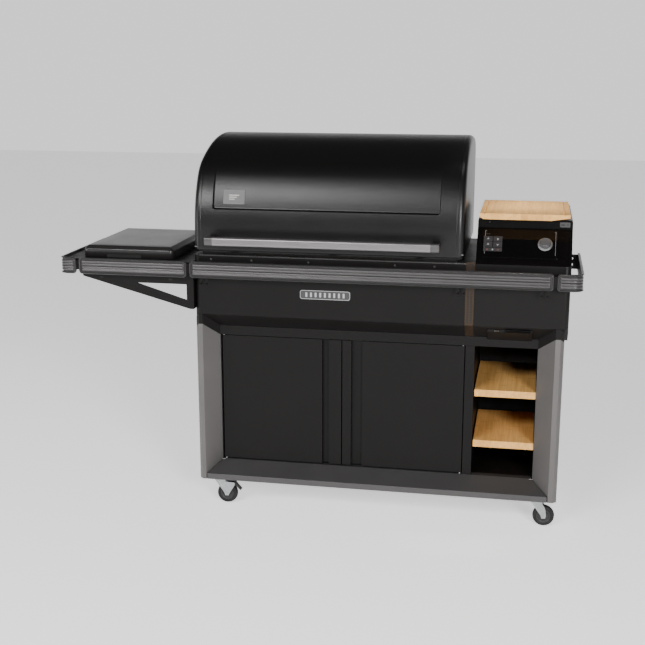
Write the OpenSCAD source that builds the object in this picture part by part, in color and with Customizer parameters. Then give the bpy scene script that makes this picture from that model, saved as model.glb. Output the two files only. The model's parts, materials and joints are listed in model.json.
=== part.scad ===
// Pellet smoker grill on a cabinet cart, with a side shelf and a pellet hopper.
// +Z is up, +X is to the right when facing the doors, +Y is towards the back.
// The origin is on the floor, under the middle of the grill's bounding box.

/* [Overall] */
// Width across the outer corners of the front rail
rail_width = 1818; // [1812:1:1826]
// Height of the rail's top edge above the floor
rail_top = 915; // [912:1:920]
// Distance from the front of the hood handle to the back of the hood
total_depth = 636; // [632:1:645]
// Thickness of the painted sheet metal
sheet = 2; // [1.5:0.1:2.5]

/* [Cart] */
// Distance from the grill's middle to the cart's left side
cart_left_offset = 423; // [420:1:426]
// Width of the cart
cart_width = 1280; // [1278:1:1284]
// Height of the cart's lower edge above the floor
cart_bottom = 101; // [100:1:104]
// Depth of the recess that the doors stand in
recess_depth = 60; // [56:1:62]
// Thickness of the doors
door_thickness = 20; // [18:1:24]
// Thickness of the bamboo shelves
shelf_thickness = 25; // [20:1:28]

/* [Casters] */
// Diameter of the caster wheels
wheel_diameter = 76; // [72:1:76]
// Width of the caster wheels
wheel_width = 24; // [20:1:25]
// Distance from the swivel axis to the wheel's axle
caster_trail = 26; // [22:1:26]

/* [Hood] */
// Height of the hood, from its lower edge to its top
hood_straight = 80; // [70:1:85]
// Height of the hood's lower edge above the rail's top edge
hood_lift = 30; // [29:1:34]
// Depth of the pressed recess in the front of the hood, at its ledge
recess_press = 16; // [10:1:17]
// Height of the notches round the hinges in the back of the hood
hood_notch_height = 60; // [55:1:70]

/* [Hopper] */
// Slope run of the console, measured towards the back
console_run = 87; // [80:1:90]
// Thickness of the bamboo cutting board
board_thickness = 21; // [18:1:24]
// Diameter of the dial
dial_diameter = 49; // [44:1:52]

/* [Hidden] */
$fn = 48;

// Colours
graphite = [0.36, 0.35, 0.34];
satin_black = [0.08, 0.08, 0.08];
silver = [0.65, 0.63, 0.62];
bronze = [0.35, 0.27, 0.2];
bamboo = [0.82, 0.66, 0.42];
zinc = [0.75, 0.77, 0.78];
rubber = [0.06, 0.06, 0.06];
steel = [0.6, 0.6, 0.6];

// A running fit: how far a bore is larger in radius than its pin
running = 0.05;
// Gap that moving faces keep from fixed ones
gap = 2;

// Planes across the grill, from front to back
rail_front = 36 - total_depth / 2;
panel_front = rail_front + 45;
recess_y = panel_front + recess_depth;
back_y = total_depth / 2;
body_back = back_y - 18;

// Cart
cart_left = -cart_left_offset;
cart_right = cart_left + cart_width;
opening_left = cart_left + 73;
opening_right = cart_right - 85;
left_flat = 25;
right_flat = 29;
post_depth = recess_depth + 26;
band_top = rail_top - 194;
band_height = 35;
bevel_drop = 52;
recess_top = band_top - bevel_drop;
door_top = recess_top - band_height;
door_bottom = cart_bottom + 67;
floor_top = door_bottom - 7;
divider_left = 526;
divider_right = 558;

// Cooking body
body_left = cart_left;
body_right = 868;
body_top = rail_top + 17;
body_corner = 18;
chamber_left = -398;
chamber_right = 492;
firebox_rim = body_top + 8;
lower_grate_z = 895;
upper_grate_z = 1007;

// Hood
hood_left = -421;
hood_right = 515;
hood_front = rail_front + 42;
hood_bottom = rail_top + hood_lift;
hinge_y = body_back;
hinge_z = hood_bottom + 30;
hinge_xs = [-330, 424];
liner_gap = 20;
ledge_z = rail_top + 177;
fade_z = rail_top + 300;

// Hopper
hopper_left = 554;
console_front = panel_front;
console_fold = body_top + 1;
console_top = console_fold + 111;
console_back = console_front + console_run;
hopper_top = rail_top + 153;
hopper_back = console_back + 420;
slope = atan2(console_run, console_top - console_fold);
lid_axis = [hopper_back + 8, hopper_top - 6];
board_bottom = rail_top + 164;

// Auger
auger_y = 20;
auger_z = 745;
pot_x = 45;

// ---------------------------------------------------------------- helpers

module block(low, high) {
    translate(low) cube(high - low);
}

// A prism along X of an outline in (y, z)
module along_x(x0, x1, outline) {
    translate([x0, 0, 0]) rotate([90, 0, 90]) linear_extrude(x1 - x0) polygon(outline);
}

// A prism along Y of an outline in (x, z)
module along_y(y0, y1, outline) {
    translate([0, y1, 0]) rotate([90, 0, 0]) linear_extrude(y1 - y0) polygon(outline);
}

module along_z(z0, z1, outline) {
    translate([0, 0, z0]) linear_extrude(z1 - z0) polygon(outline);
}

module rod_x(x0, x1, y, z, r) {
    translate([x0, y, z]) rotate([0, 90, 0]) cylinder(r = r, h = x1 - x0);
}

module rod_y(y0, y1, x, z, r) {
    translate([x, y0, z]) rotate([-90, 0, 0]) cylinder(r = r, h = y1 - y0);
}

module rod_z(z0, z1, x, y, r) {
    translate([x, y, z0]) cylinder(r = r, h = z1 - z0);
}

// A sheet pan: a block without its inside, which is open on the side that "open" names
module pan(low, high, wall, open) {
    inner_low = low + wall * [1, 1, 1];
    inner_high = high - wall * [1, 1, 1];
    through = 2 * wall;
    difference() {
        block(low, high);
        block(
            [inner_low.x, open == "front" ? low.y - through : inner_low.y,
                open == "bottom" ? low.z - through : inner_low.z],
            [inner_high.x, open == "back" ? high.y + through : inner_high.y,
                open == "top" ? high.z + through : inner_high.z]);
    }
}

// Points of an arc in (y, z). Its direction turns from "from" to "to" degrees,
// where 0 is straight up and 90 is straight back.
function bend(start, radius, from, to, steps) =
    [for (i = [1 : steps])
        let (a = from + (to - from) * i / steps)
        start + radius * [cos(from) - cos(a), sin(a) - sin(from)]];

function last(points) = points[len(points) - 1];

// ---------------------------------------------------------------- cart

// Plan outline of a front post, from its outer front corner, set in by t
function post_outline(flat, run, t) = [
    [t, post_depth - t],
    [t, 12 + 0.4 * t],
    [12 + 0.4 * t, t],
    [flat - 0.4 * t, t],
    [flat + run - t, recess_depth + 0.35 * t],
    [flat + run - t, post_depth - t]];

// The face under the black band: it drops towards the back with the band
function under_band(lift) = [
    [panel_front - 1, band_top - band_height + lift],
    [recess_y, door_top + lift],
    [body_back, door_top + lift],
    [body_back, band_top + 100],
    [panel_front - 1, band_top + 100]];

module post(flat, run) {
    difference() {
        along_z(cart_bottom, band_top, post_outline(flat, run, 0));
        along_z(cart_bottom - 1, band_top + 1, post_outline(flat, run, sheet));
    }
}

module front_posts() {
    color(graphite)
    difference() {
        union() {
            translate([cart_left, panel_front, 0])
                post(left_flat, opening_left - cart_left - left_flat);
            translate([cart_right, panel_front, 0]) mirror([1, 0, 0])
                post(right_flat, cart_right - opening_right - right_flat);
        }
        along_x(cart_left - 1, cart_right + 1, under_band(-0.5));
    }
}

function bottom_outline(t) = [
    [panel_front + t, cart_bottom + t],
    [panel_front + t, cart_bottom + 21 - 0.4 * t],
    [recess_y + 0.4 * t, floor_top + 2 - t],
    [panel_front + post_depth - t, floor_top + 2 - t],
    [panel_front + post_depth - t, cart_bottom + t]];

module bottom_rail() {
    seam = 3;
    color(graphite)
    intersection() {
        difference() {
            along_x(cart_left, cart_right, bottom_outline(0));
            along_x(cart_left - 1, cart_right + 1, bottom_outline(sheet));
        }
        along_z(0, rail_top, [
            [cart_left + left_flat + seam, panel_front - 1],
            [cart_right - right_flat - seam, panel_front - 1],
            [opening_right - seam, recess_y],
            [opening_right - seam, body_back],
            [opening_left + seam, body_back],
            [opening_left + seam, recess_y]]);
    }
}

module band_leg(flat, run) {
    difference() {
        along_z(door_top - 1, band_top, post_outline(flat, run, 0));
        along_z(door_top - 2, band_top + 1, post_outline(flat, run, sheet));
    }
}

module top_band() {
    color(satin_black)
    difference() {
        union() {
            intersection() {
                union() {
                    translate([cart_left, panel_front, 0])
                        band_leg(left_flat, opening_left - cart_left - left_flat);
                    translate([cart_right, panel_front, 0]) mirror([1, 0, 0])
                        band_leg(right_flat, cart_right - opening_right - right_flat);
                }
                along_x(cart_left - 1, cart_right + 1, under_band(0));
            }
            block([opening_left, recess_y, door_top], [opening_right, recess_y + 16, recess_top - 1]);
        }
        along_x(cart_left - 1, cart_right + 1, [
            [panel_front - 1, band_top],
            [panel_front, band_top - 0.6],
            [recess_y, recess_top - 0.6],
            [body_back, recess_top - 0.6],
            [body_back, band_top + 10],
            [panel_front - 1, band_top + 10]]);
    }
}

module cart_base() {
    back = body_back - 4;
    front = panel_front + post_depth;
    color(satin_black)
    difference() {
        block([cart_left + sheet, front, cart_bottom], [cart_right - sheet, back, floor_top]);
        block([cart_left + 2 * sheet, front + sheet, cart_bottom + 3],
            [cart_right - 2 * sheet, back + 1, floor_top - sheet]);
    }
}

// A side panel with a folded back corner, standing at x = 0 and reaching towards +x
module side_panel() {
    front = panel_front + post_depth;
    block([0, front, cart_bottom], [sheet, body_back, recess_top - 1]);
    block([0, body_back - sheet, cart_bottom], [40, body_back, recess_top - 1]);
}

// Two strips that carry the bamboo shelves at x = 0 and reach towards +x
module shelf_strips(reach) {
    for (top = [upper_shelf_top, lower_shelf_top]) {
        under = top - shelf_thickness;
        block([0, recess_y + 30, under - 14], [2, 190, under]);
        block([0, recess_y + 30, under - 2], [reach, 190, under]);
    }
}

upper_shelf_top = rail_top - 437;
lower_shelf_top = rail_top - 622;

module cart_sides() {
    color(satin_black) {
        translate([cart_left, 0, 0]) side_panel();
        translate([cart_right, 0, 0]) mirror([1, 0, 0]) side_panel();
    }
    // Inner wall of the open bay, with its shelf strips
    color(satin_black) {
        block([opening_right + 4, recess_y + 26, floor_top], [opening_right + 6, body_back - 4, door_top]);
        block([opening_right + 4, recess_y + 26, floor_top], [cart_right - sheet, recess_y + 28, door_top]);
        translate([opening_right + 4, 0, 0]) mirror([1, 0, 0]) shelf_strips(15);
    }
}

module cart_back() {
    color(satin_black)
    difference() {
        block([cart_left + 40, body_back - sheet, cart_bottom],
            [cart_right - 40, body_back, recess_top - 1]);
        // Louvres that let the cabinet breathe
        for (row = [0 : 5])
            block([100, body_back - 10, 520 + 14 * row], [340, body_back + 10, 525 + 14 * row]);
    }
}

module bay_divider() {
    top = door_top - 0.5;
    color(satin_black) {
        difference() {
            block([divider_left, recess_y, floor_top + 2.5], [divider_right, recess_y + 24, top]);
            block([divider_left + sheet, recess_y + sheet, floor_top],
                [divider_right - sheet, recess_y + 24 - sheet, top + 1]);
        }
        block([divider_right - 4, recess_y + 24, floor_top], [divider_right - 2, body_back - 4, top]);
        translate([divider_right - 2, 0, 0]) shelf_strips(15);
    }
}

module bamboo_shelf(top, back) {
    side = 2.5;
    color(bamboo)
        block([divider_right + side, recess_y + 2, top - shelf_thickness],
            [opening_right - 0.5, back, top]);
}

module bamboo_shelves() {
    bamboo_shelf(upper_shelf_top, 208);
    bamboo_shelf(lower_shelf_top, 180);
}

// ---------------------------------------------------------------- doors

pin_r = 3;
door_pin_inset = 5;
left_door_right = 91;
right_door_left = 94.7;
left_pin_x = opening_left + 8 + door_pin_inset;
right_pin_x = divider_left - 3 - door_pin_inset;
door_pin_y = recess_y + door_pin_inset;
channel_depth = 14;

// A door: a sheet tray with a filled edge round its pins and a finger channel
module door(x0, x1, channel0, channel1, pin_x) {
    back = recess_y + door_thickness;
    bottom = door_bottom + 1;
    top = door_top - gap;
    wall = 1.6;
    pocket0 = x0 + 22;
    pocket1 = x1 - 22;
    difference() {
        block([x0, recess_y, bottom], [x1, back, top]);
        // The inside of the tray, on both sides of the channel
        for (side = [[pocket0, channel0 - wall], [channel1 + wall, pocket1]])
            if (side[1] - side[0] > 4)
                block([side[0], recess_y + wall, bottom + 22], [side[1], back - wall, top - 22]);
        block([channel0, recess_y - 1, bottom - 1], [channel1, recess_y + channel_depth, top + 1]);
        for (z = [bottom, top])
            rod_z(z - 13, z + 13, pin_x, door_pin_y, pin_r + running);
    }
}

module left_door() {
    color(satin_black)
        door(opening_left + 8, left_door_right, 22, 46, left_pin_x);
}

module right_door() {
    color(satin_black)
        door(right_door_left, divider_left - 3, 126.5, 166, right_pin_x);
}

// ---------------------------------------------------------------- hinges

module hinge_pins() {
    reach = 11;
    color(steel) {
        for (x = [left_pin_x, right_pin_x]) {
            rod_z(floor_top + 2.5, door_bottom + 1 + reach, x, door_pin_y, pin_r);
            rod_z(door_top - gap - reach, door_top + 6, x, door_pin_y, pin_r);
        }
        for (x = hinge_xs)
            rod_x(x - 15, x + 15, hinge_y, hinge_z, 4);
        for (x = [600, 822])
            rod_x(x - 13, x + 13, lid_axis[0], lid_axis[1], pin_r);
    }
}

// A plate in the (y, z) plane that holds a pin at its top
module pin_ear(x0, x1, y, z, r, pin, foot_y, foot_z) {
    difference() {
        union() {
            rod_x(x0, x1, y, z, r);
            along_x(x0, x1, [[foot_y[0], foot_z], [foot_y[1], foot_z], [y + r, z], [y - r, z]]);
        }
        rod_x(x0 - 1, x1 + 1, y, z, pin + 0.02);
    }
}

module hinge_brackets() {
    color(satin_black) {
        for (x = hinge_xs) {
            for (side = [-1, 1])
                translate([x + 12 * side, 0, 0])
                    pin_ear(-2, 2, hinge_y, hinge_z, 9, 4, [286, body_back], body_top + 2);
            block([x - 16, 284, body_top], [x + 16, body_back, body_top + 3]);
        }
        for (x = [600, 822]) {
            for (side = [-1, 1])
                translate([x + 10 * side, 0, 0])
                    pin_ear(-2, 2, lid_axis[0], lid_axis[1], 6, pin_r,
                        [hopper_back, hopper_back + 10], hopper_top - 30);
            block([x - 12, hopper_back, hopper_top - 46], [x + 12, hopper_back + 3, hopper_top - 26]);
        }
    }
}

// ---------------------------------------------------------------- casters

caster_xs = [cart_left + 68, cart_right - 67];
caster_ys = [panel_front + 43, 232];
axle_z = wheel_diameter / 2;
axle_r = 4;
kingpin_r = 6;
fork_top = cart_bottom - 5;
fork_half = 16;

module caster_plates() {
    color(zinc)
    for (x = caster_xs)
        for (y = caster_ys) {
            difference() {
                block([x - 34, y - 28, fork_top + 1], [x + 34, y + 28, cart_bottom]);
                for (dx = [-26, 26])
                    for (dy = [-20, 20])
                        rod_z(fork_top, cart_bottom + 1, x + dx, y + dy, 3.5);
            }
            rod_z(fork_top - 9, cart_bottom, x, y, kingpin_r);
        }
}

// A fork about its swivel axis at the origin, trailing towards +x
module caster_fork(brake) {
    top = fork_top;
    crown = 24;
    difference() {
        union() {
            rod_z(top - 6, top - 0.5, 0, 0, crown);
            for (side = [-1, 1])
                along_y(side * fork_half - 1.25, side * fork_half + 1.25, [
                    [-22, top - 1], [21, top - 1],
                    [21, 84], [brake ? 56 : 30, brake ? 82 : 70],
                    [brake ? 56 : 33, brake ? 72 : 60],
                    [caster_trail + 9, axle_z], [caster_trail + 6, axle_z - 7],
                    [caster_trail - 6, axle_z - 7], [caster_trail - 9, axle_z + 3]]);
        }
        rod_z(top - 20, top + 1, 0, 0, kingpin_r + running);
    }
    rod_y(-fork_half - 3, fork_half + 3, caster_trail, axle_z, axle_r);
    if (brake)
        rod_y(-fork_half, fork_half, 51, 77, 2.5);
}

module caster_wheel() {
    difference() {
        union() {
            rod_y(-wheel_width / 2, wheel_width / 2, 0, 0, wheel_diameter / 2);
            rod_y(-fork_half + 2.2, fork_half - 2.2, 0, 0, 9);
        }
        rod_y(-20, 20, 0, 0, axle_r + running);
        for (side = [-1, 1])
            translate([0, side * (wheel_width / 2 + 2), 0])
                difference() {
                    rod_y(-5, 5, 0, 0, 26);
                    rod_y(-6, 6, 0, 0, 9);
                }
    }
}

module brake_lever() {
    difference() {
        along_y(-9, 9, [[46, 80], [51, 83], [56, 80], [79, 54], [75, 51]]);
        rod_y(-20, 20, 51, 77, 2.5 + running);
    }
}

module place_caster(i, j) {
    translate([caster_xs[i], caster_ys[j], 0]) children();
}

module place_wheel(i, j) {
    place_caster(i, j) translate([caster_trail, 0, axle_z]) children();
}

module fork_front_left() { color(zinc) place_caster(0, 0) caster_fork(true); }
module fork_front_right() { color(zinc) place_caster(1, 0) caster_fork(false); }
module fork_rear_left() { color(zinc) place_caster(0, 1) caster_fork(true); }
module fork_rear_right() { color(zinc) place_caster(1, 1) caster_fork(false); }
module wheel_front_left() { color(rubber) place_wheel(0, 0) caster_wheel(); }
module wheel_front_right() { color(rubber) place_wheel(1, 0) caster_wheel(); }
module wheel_rear_left() { color(rubber) place_wheel(0, 1) caster_wheel(); }
module wheel_rear_right() { color(rubber) place_wheel(1, 1) caster_wheel(); }
module brake_front_left() { color(rubber) place_caster(0, 0) brake_lever(); }
module brake_rear_left() { color(rubber) place_caster(0, 1) brake_lever(); }

// ---------------------------------------------------------------- cooking body

function shroud_outline(t) = [
    [panel_front + t, band_top + 0.4 * t],
    [panel_front + t, body_top - t],
    [body_back - t, body_top - t],
    [body_back - t, recess_top - (t > 0 ? 5 : 0)],
    [recess_y, recess_top - (t > 0 ? 5 : 0)],
    [recess_y, recess_top + 1.3 * t]];

// Plan outline with round front corners
module plan_prism(x0, x1, y0, y1, z0, z1, r) {
    translate([0, 0, z0]) linear_extrude(z1 - z0) {
        translate([x0, y0 + r]) square([x1 - x0, y1 - y0 - r]);
        translate([x0 + r, y0]) square([x1 - x0 - 2 * r, r]);
        for (x = [x0 + r, x1 - r])
            translate([x, y0 + r]) circle(r = r);
    }
}

module body_shroud() {
    t = sheet;
    color(satin_black)
    difference() {
        intersection() {
            along_x(body_left, body_right, shroud_outline(0));
            plan_prism(body_left, body_right, panel_front, body_back, recess_top - 10, body_top + 1,
                body_corner);
        }
        intersection() {
            along_x(body_left + t, body_right - t, shroud_outline(t));
            plan_prism(body_left + t, body_right - t, panel_front + t, body_back - t,
                recess_top - 20, body_top + 1, body_corner - t);
        }
        // Openings for the firebox and for the pellet bin
        block([chamber_left - 2, panel_front + 22, body_top - 10],
            [chamber_right + 2, body_back - 28, body_top + 10]);
        block([hopper_left + 6, -140, body_top - 10], [body_right - 10, 262, body_top + 10]);
        // Slots of the clean-out gate, and the power inlet's hole
        block([599, recess_y - 44, recess_top - 20], [752, recess_y + 1, recess_top + 45]);
        block([690, body_back - 10, 812], [738, body_back + 10, 840]);
    }
}

// Perforated strip that runs down the front and under the slanted face
module vent_strip() {
    left = 523;
    right = left + 29.7;
    t = 1.6;
    top = rail_top + 22;
    pitch = 9;
    color(bronze)
    difference() {
        union() {
            block([left, panel_front - t, band_top], [right, panel_front, top]);
            block([left, panel_front - t, top - t], [right, panel_front + 10, top]);
            along_x(left, right, [
                [panel_front - t, band_top], [panel_front, band_top],
                [recess_y - 2, recess_top + 1.7], [recess_y - 2, recess_top - 0.3]]);
        }
        for (row = [0 : 22])
            for (x = [532.5, 543.5])
                rod_y(panel_front - 5, panel_front + 5, x, top - 8 - row * pitch, 2.6);
    }
}

module badge_plate() {
    x0 = -44;
    x1 = 131;
    z0 = rail_top - 125;
    z1 = rail_top - 94;
    r = 8;
    color(steel)
    translate([0, panel_front, 0]) rotate([90, 0, 0]) linear_extrude(2.5) {
        translate([x0 + r, z0]) square([x1 - x0 - 2 * r, z1 - z0]);
        translate([x0, z0 + r]) square([x1 - x0, z1 - z0 - 2 * r]);
        for (x = [x0 + r, x1 - r])
            for (z = [z0 + r, z1 - r])
                translate([x, z]) circle(r = r);
    }
}

// The pellet gate: a blade that slides forward, with a tapered front on the slanted face
module cleanout_slide() {
    y0 = recess_y - 43;
    color(satin_black)
    difference() {
        along_x(600, 751, [
            [y0, recess_top + 37], [y0 - 3, recess_top + 31],
            [recess_y - 1, recess_top - 9], [recess_y - 1, recess_top + 6]]);
        along_x(604, 747, [
            [y0 + 2, recess_top + 41], [y0 + 6, recess_top + 26],
            [recess_y - 4, recess_top - 5], [recess_y + 3, recess_top + 9]]);
    }
    color(satin_black)
        block([610, recess_y - 3, recess_top + 1], [741, 80, recess_top + 4]);
    color(bronze)
        along_x(660, 744, [
            [y0 - 6, recess_top + 37], [y0 - 3, recess_top + 31],
            [y0 + 8, recess_top + 22], [y0 + 5, recess_top + 17],
            [y0 - 12, recess_top + 31]]);
}

function firebox_outline(t) = [
    [-213 + t, firebox_rim + (t > 0 ? 5 : 0)],
    [-213 + t, 762],
    [-122 + 0.5 * t, 690 + t],
    [180 - 0.5 * t, 690 + t],
    [270 - t, 762],
    [270 - t, firebox_rim + (t > 0 ? 5 : 0)]];

// At one end of the firebox: a ledge for the lower grate, and two uprights with a bar
// for the upper one. They stand on the wall at x and reach inwards.
module grate_rests(x, inwards) {
    reach = x + 14 * inwards;
    upright = x + 6 * inwards;
    color(steel) {
        block([min(x, reach), -200, 880], [max(x, reach), 258, lower_grate_z - 3]);
        block([min(x, reach), -200, 994], [max(x, reach), 258, upper_grate_z - 3]);
        for (y = [-200, 244])
            block([min(x, upright), y, 880], [max(x, upright), y + 14, 1000]);
    }
}

module firebox() {
    t = 2.5;
    color(steel)
    difference() {
        union() {
            along_x(chamber_left, chamber_right, firebox_outline(0));
            block([chamber_left - 14, -226, body_top], [chamber_right + 14, 282, body_top + 2.5]);
        }
        along_x(chamber_left + t, chamber_right - t, firebox_outline(t));
        rod_x(chamber_right - 10, chamber_right + 10, auger_y, auger_z, 26.5);
        // Outlet to the keg
        block([-150, -20, 680], [-90, 60, 700]);
    }
    // Rails that the keg hangs on
    color(steel)
    for (side = [[-187, -184.5, -187], [-51.5, -49, -57]])  {
        block([side[0], -70, 641], [side[1], 100, 690]);
        block([side[2], -70, 641], [side[2] + 8, 100, 643.5]);
    }
    grate_rests(chamber_left + t, 1);
    grate_rests(chamber_right - t, -1);
}

module firepot() {
    color(steel)
    difference() {
        rod_z(692.5, 786, pot_x, auger_y, 62);
        rod_z(698, 790, pot_x, auger_y, 59);
        rod_x(pot_x + 10, pot_x + 80, auger_y, auger_z, 26.2);
        rod_x(pot_x + 10, pot_x + 80, auger_y, 710, 5.2);
        // Air holes round the lower wall
        for (a = [60 : 30 : 300])
            translate([pot_x, auger_y, 722]) rotate([0, 90, a]) cylinder(r = 4, h = 80);
    }
}

module igniter_rod() {
    color(steel) {
        rod_x(pot_x + 25, pot_x + 150, auger_y, 710, 4.8);
        rod_x(pot_x + 150, pot_x + 170, auger_y, 710, 7);
    }
}

module heat_baffle() {
    x0 = -90;
    x1 = 180;
    color(steel) {
        along_x(x0, x1, [
            [-130, 806], [20, 830], [170, 806],
            [170, 804], [20, 828], [-130, 804]]);
        for (x = [x0, x1 - 6])
            for (y = [-112, 148])
                block([x, y, 692.5], [x + 6, y + 6, 808]);
    }
}

module drip_tray() {
    t = 2;
    color(steel)
        along_x(chamber_left + 8, chamber_right - 8, [
            [-206, 872], [-206, 862], [-110, 838], [20, 856], [150, 838], [262, 862], [262, 872],
            [262 - t, 872], [262 - t, 864], [150, 838 + t], [20, 856 + t], [-110, 838 + t],
            [-206 + t, 864], [-206 + t, 872]]);
}

module grate(z, y0, y1, x0, x1) {
    bars = 40;
    r = 2.5;
    for (i = [0 : bars])
        rod_y(y0, y1, x0 + (x1 - x0) * i / bars, z, r);
    for (y = [y0 + 4, (y0 + y1) / 2, y1 - 4])
        rod_x(x0, x1, y, z, r + 0.5);
}

module cooking_grates() {
    color(steel) {
        grate(lower_grate_z, -206, 262, chamber_left + 12, chamber_right - 12);
        grate(upper_grate_z, -180, 236, chamber_left + 12, chamber_right - 12);
    }
}

module grease_keg() {
    x0 = -178;
    y0 = -60;
    z0 = 498;
    color(steel) {
        pan([x0, y0, z0], [x0 + 120, y0 + 150, z0 + 150], 2, "top");
        // Carrying bail, folded down along the front
        difference() {
            block([x0 + 20, y0 - 6, z0 + 96], [x0 + 100, y0, z0 + 126]);
            block([x0 + 27, y0 - 7, z0 + 103], [x0 + 93, y0 - 1, z0 + 119]);
        }
        block([x0 - 6, y0 - 6, z0 + 146], [x0, y0 + 156, z0 + 150]);
        block([x0 + 120, y0 - 6, z0 + 146], [x0 + 126, y0 + 156, z0 + 150]);
    }
}

// ---------------------------------------------------------------- hood

// Side outline of the hood in (y, z), set in by t
function hood_curve(t) =
    let (
        start = [hood_front + t, hood_bottom + hood_straight],
        lower = bend(start, 350 - t, 0, 30, 6),
        brow = bend(last(lower), 150 - t, 30, 62, 6),
        crown = bend(last(brow), 611 - t, 62, 100, 8),
        tail = bend(last(crown), (back_y - t - last(crown).x) / (1 + cos(100)), 100, 180, 8))
    concat([start], lower, brow, crown, tail);

function hood_outline(t, bottom) =
    concat([[hood_front + t, bottom]], hood_curve(t), [[last(hood_curve(t)).x, bottom]]);

// The pressed recess, grown by t
module hood_recess(t) {
    low = hood_front + recess_press + t;
    run = 40;
    along_x(-354 - t, 433 + t, [
        [hood_front - 20, ledge_z - t],
        [low, ledge_z - t],
        [low + run * 1.2, ledge_z + (fade_z - ledge_z) * 1.2],
        [hood_front - 20, ledge_z + (fade_z - ledge_z) * 1.2]]);
}

module hood_blank(t, bottom) {
    difference() {
        along_x(hood_left + t, hood_right - t, hood_outline(t, bottom));
        hood_recess(t);
    }
}

// Room round the hinges that the hood's back edge leaves free
module hinge_notches(reach) {
    for (x = hinge_xs)
        block([x - 22, 262, hood_bottom - 10], [x + 22, back_y + 10, hood_bottom + reach]);
}

module hood_shell() {
    t = sheet + 0.5;
    color(satin_black)
    difference() {
        hood_blank(0, hood_bottom);
        hood_blank(t, hood_bottom - 20);
        hinge_notches(hood_notch_height);
        // The back edge is a little higher than the front one
        along_x(hood_left - 1, hood_right + 1, [
            [250, hood_bottom - 1], [285, hood_bottom + 12],
            [back_y + 5, hood_bottom + 12], [back_y + 5, hood_bottom - 1]]);
    }
    // Hinge knuckles
    color(satin_black)
    for (x = hinge_xs)
        difference() {
            union() {
                rod_x(x - 9.5, x + 9.5, hinge_y, hinge_z, 8);
                along_x(x - 9.5, x + 9.5, [
                    [hinge_y - 6, hinge_z + 4], [hinge_y + 8, hinge_z],
                    [back_y - 2, hood_bottom + 50], [back_y - 2, hood_bottom + 92],
                    [back_y - 12, hood_bottom + 92]]);
            }
            rod_x(x - 20, x + 20, hinge_y, hinge_z, 4 + running);
        }
}

module hood_liner() {
    t = 1.5;
    rim = hood_bottom + 15;
    color(steel)
    difference() {
        union() {
            difference() {
                along_x(hood_left + liner_gap, hood_right - liner_gap, hood_outline(liner_gap, rim));
                along_x(hood_left + liner_gap + t, hood_right - liner_gap - t,
                    hood_outline(liner_gap + t, rim - 10));
            }
            // Rim that joins the liner to the shell
            difference() {
                block([hood_left + 2.5, hood_front + 2.5, rim], [hood_right - 2.5, back_y - 4, rim + 2]);
                block([hood_left + liner_gap + t, hood_front + liner_gap + t, rim - 1],
                    [hood_right - liner_gap - t, back_y - liner_gap - 4, rim + 3]);
            }
        }
        hinge_notches(110);
    }
}

handle_left = -361;
handle_right = 437.5;
handle_z = rail_top + 63;
handle_height = 30;
handle_front = -total_depth / 2;
cap_width = 28;

module handle_bar() {
    r = 8;
    color(silver)
    translate([handle_left + cap_width, 0, 0]) rotate([90, 0, 90])
    linear_extrude(handle_right - handle_left - 2 * cap_width)
    difference() {
        union() {
            translate([handle_front, handle_z + r]) square([20, handle_height - 2 * r]);
            translate([handle_front + r, handle_z]) square([20 - 2 * r, handle_height]);
            for (y = [handle_front + r, handle_front + 20 - r])
                for (z = [handle_z + r, handle_z + handle_height - r])
                    translate([y, z]) circle(r = r);
        }
        translate([handle_front + 3, handle_z + 3]) square([14, handle_height - 6]);
    }
}

module handle_brackets() {
    color(graphite)
    for (x = [handle_left, handle_right - cap_width]) {
        block([x, handle_front + 0.5, handle_z + 0.5],
            [x + cap_width, handle_front + 21, handle_z + handle_height - 0.5]);
        block([x + 4, handle_front + 21, handle_z + 4],
            [x + cap_width - 4, hood_front, handle_z + handle_height - 4]);
        block([x + 1, hood_front - 3, handle_z], [x + cap_width - 1, hood_front, handle_z + handle_height]);
    }
}

module label_plate() {
    tilt = atan2(40, fade_z - ledge_z);
    color(satin_black)
    translate([-318, hood_front + recess_press, ledge_z]) rotate([-tilt, 0, 0])
        block([0, -1.6, 18], [77, 0, 68]);
}

// ---------------------------------------------------------------- rail and side shelf

rail_height = 58;
rail_bottom = rail_top - rail_height;
left_corner_width = 66;
right_corner_width = 87;
plate_t = 9;

// The pressed face of a rail plate: a groove inside the lip, and ribs inside that
module rail_grooves(x0, x1, front) {
    lip = 6;
    ribs = 4;
    field = rail_height - 2 * lip;
    for (i = [0 : ribs])
        translate([0, 0, rail_bottom + lip + field * i / ribs])
            block([x0 + lip, front - 1, -1.3], [x1 - lip, front + 2.2, 1.3]);
    for (x = [x0 + lip, x1 - lip])
        block([x - 1.3, front - 1, rail_bottom + lip], [x + 1.3, front + 2.2, rail_top - lip]);
}

module rail_plate(x0, x1) {
    difference() {
        block([x0, rail_front, rail_bottom], [x1, rail_front + plate_t, rail_top]);
        rail_grooves(x0, x1, rail_front);
    }
}

module rail_main_plate() {
    color(graphite) rail_plate(-427.7, 811.7);
}

module rail_left_plate() {
    color(graphite) rail_plate(-833.4, -438.9);
}

side_rail_back = rail_front + 440;

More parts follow.
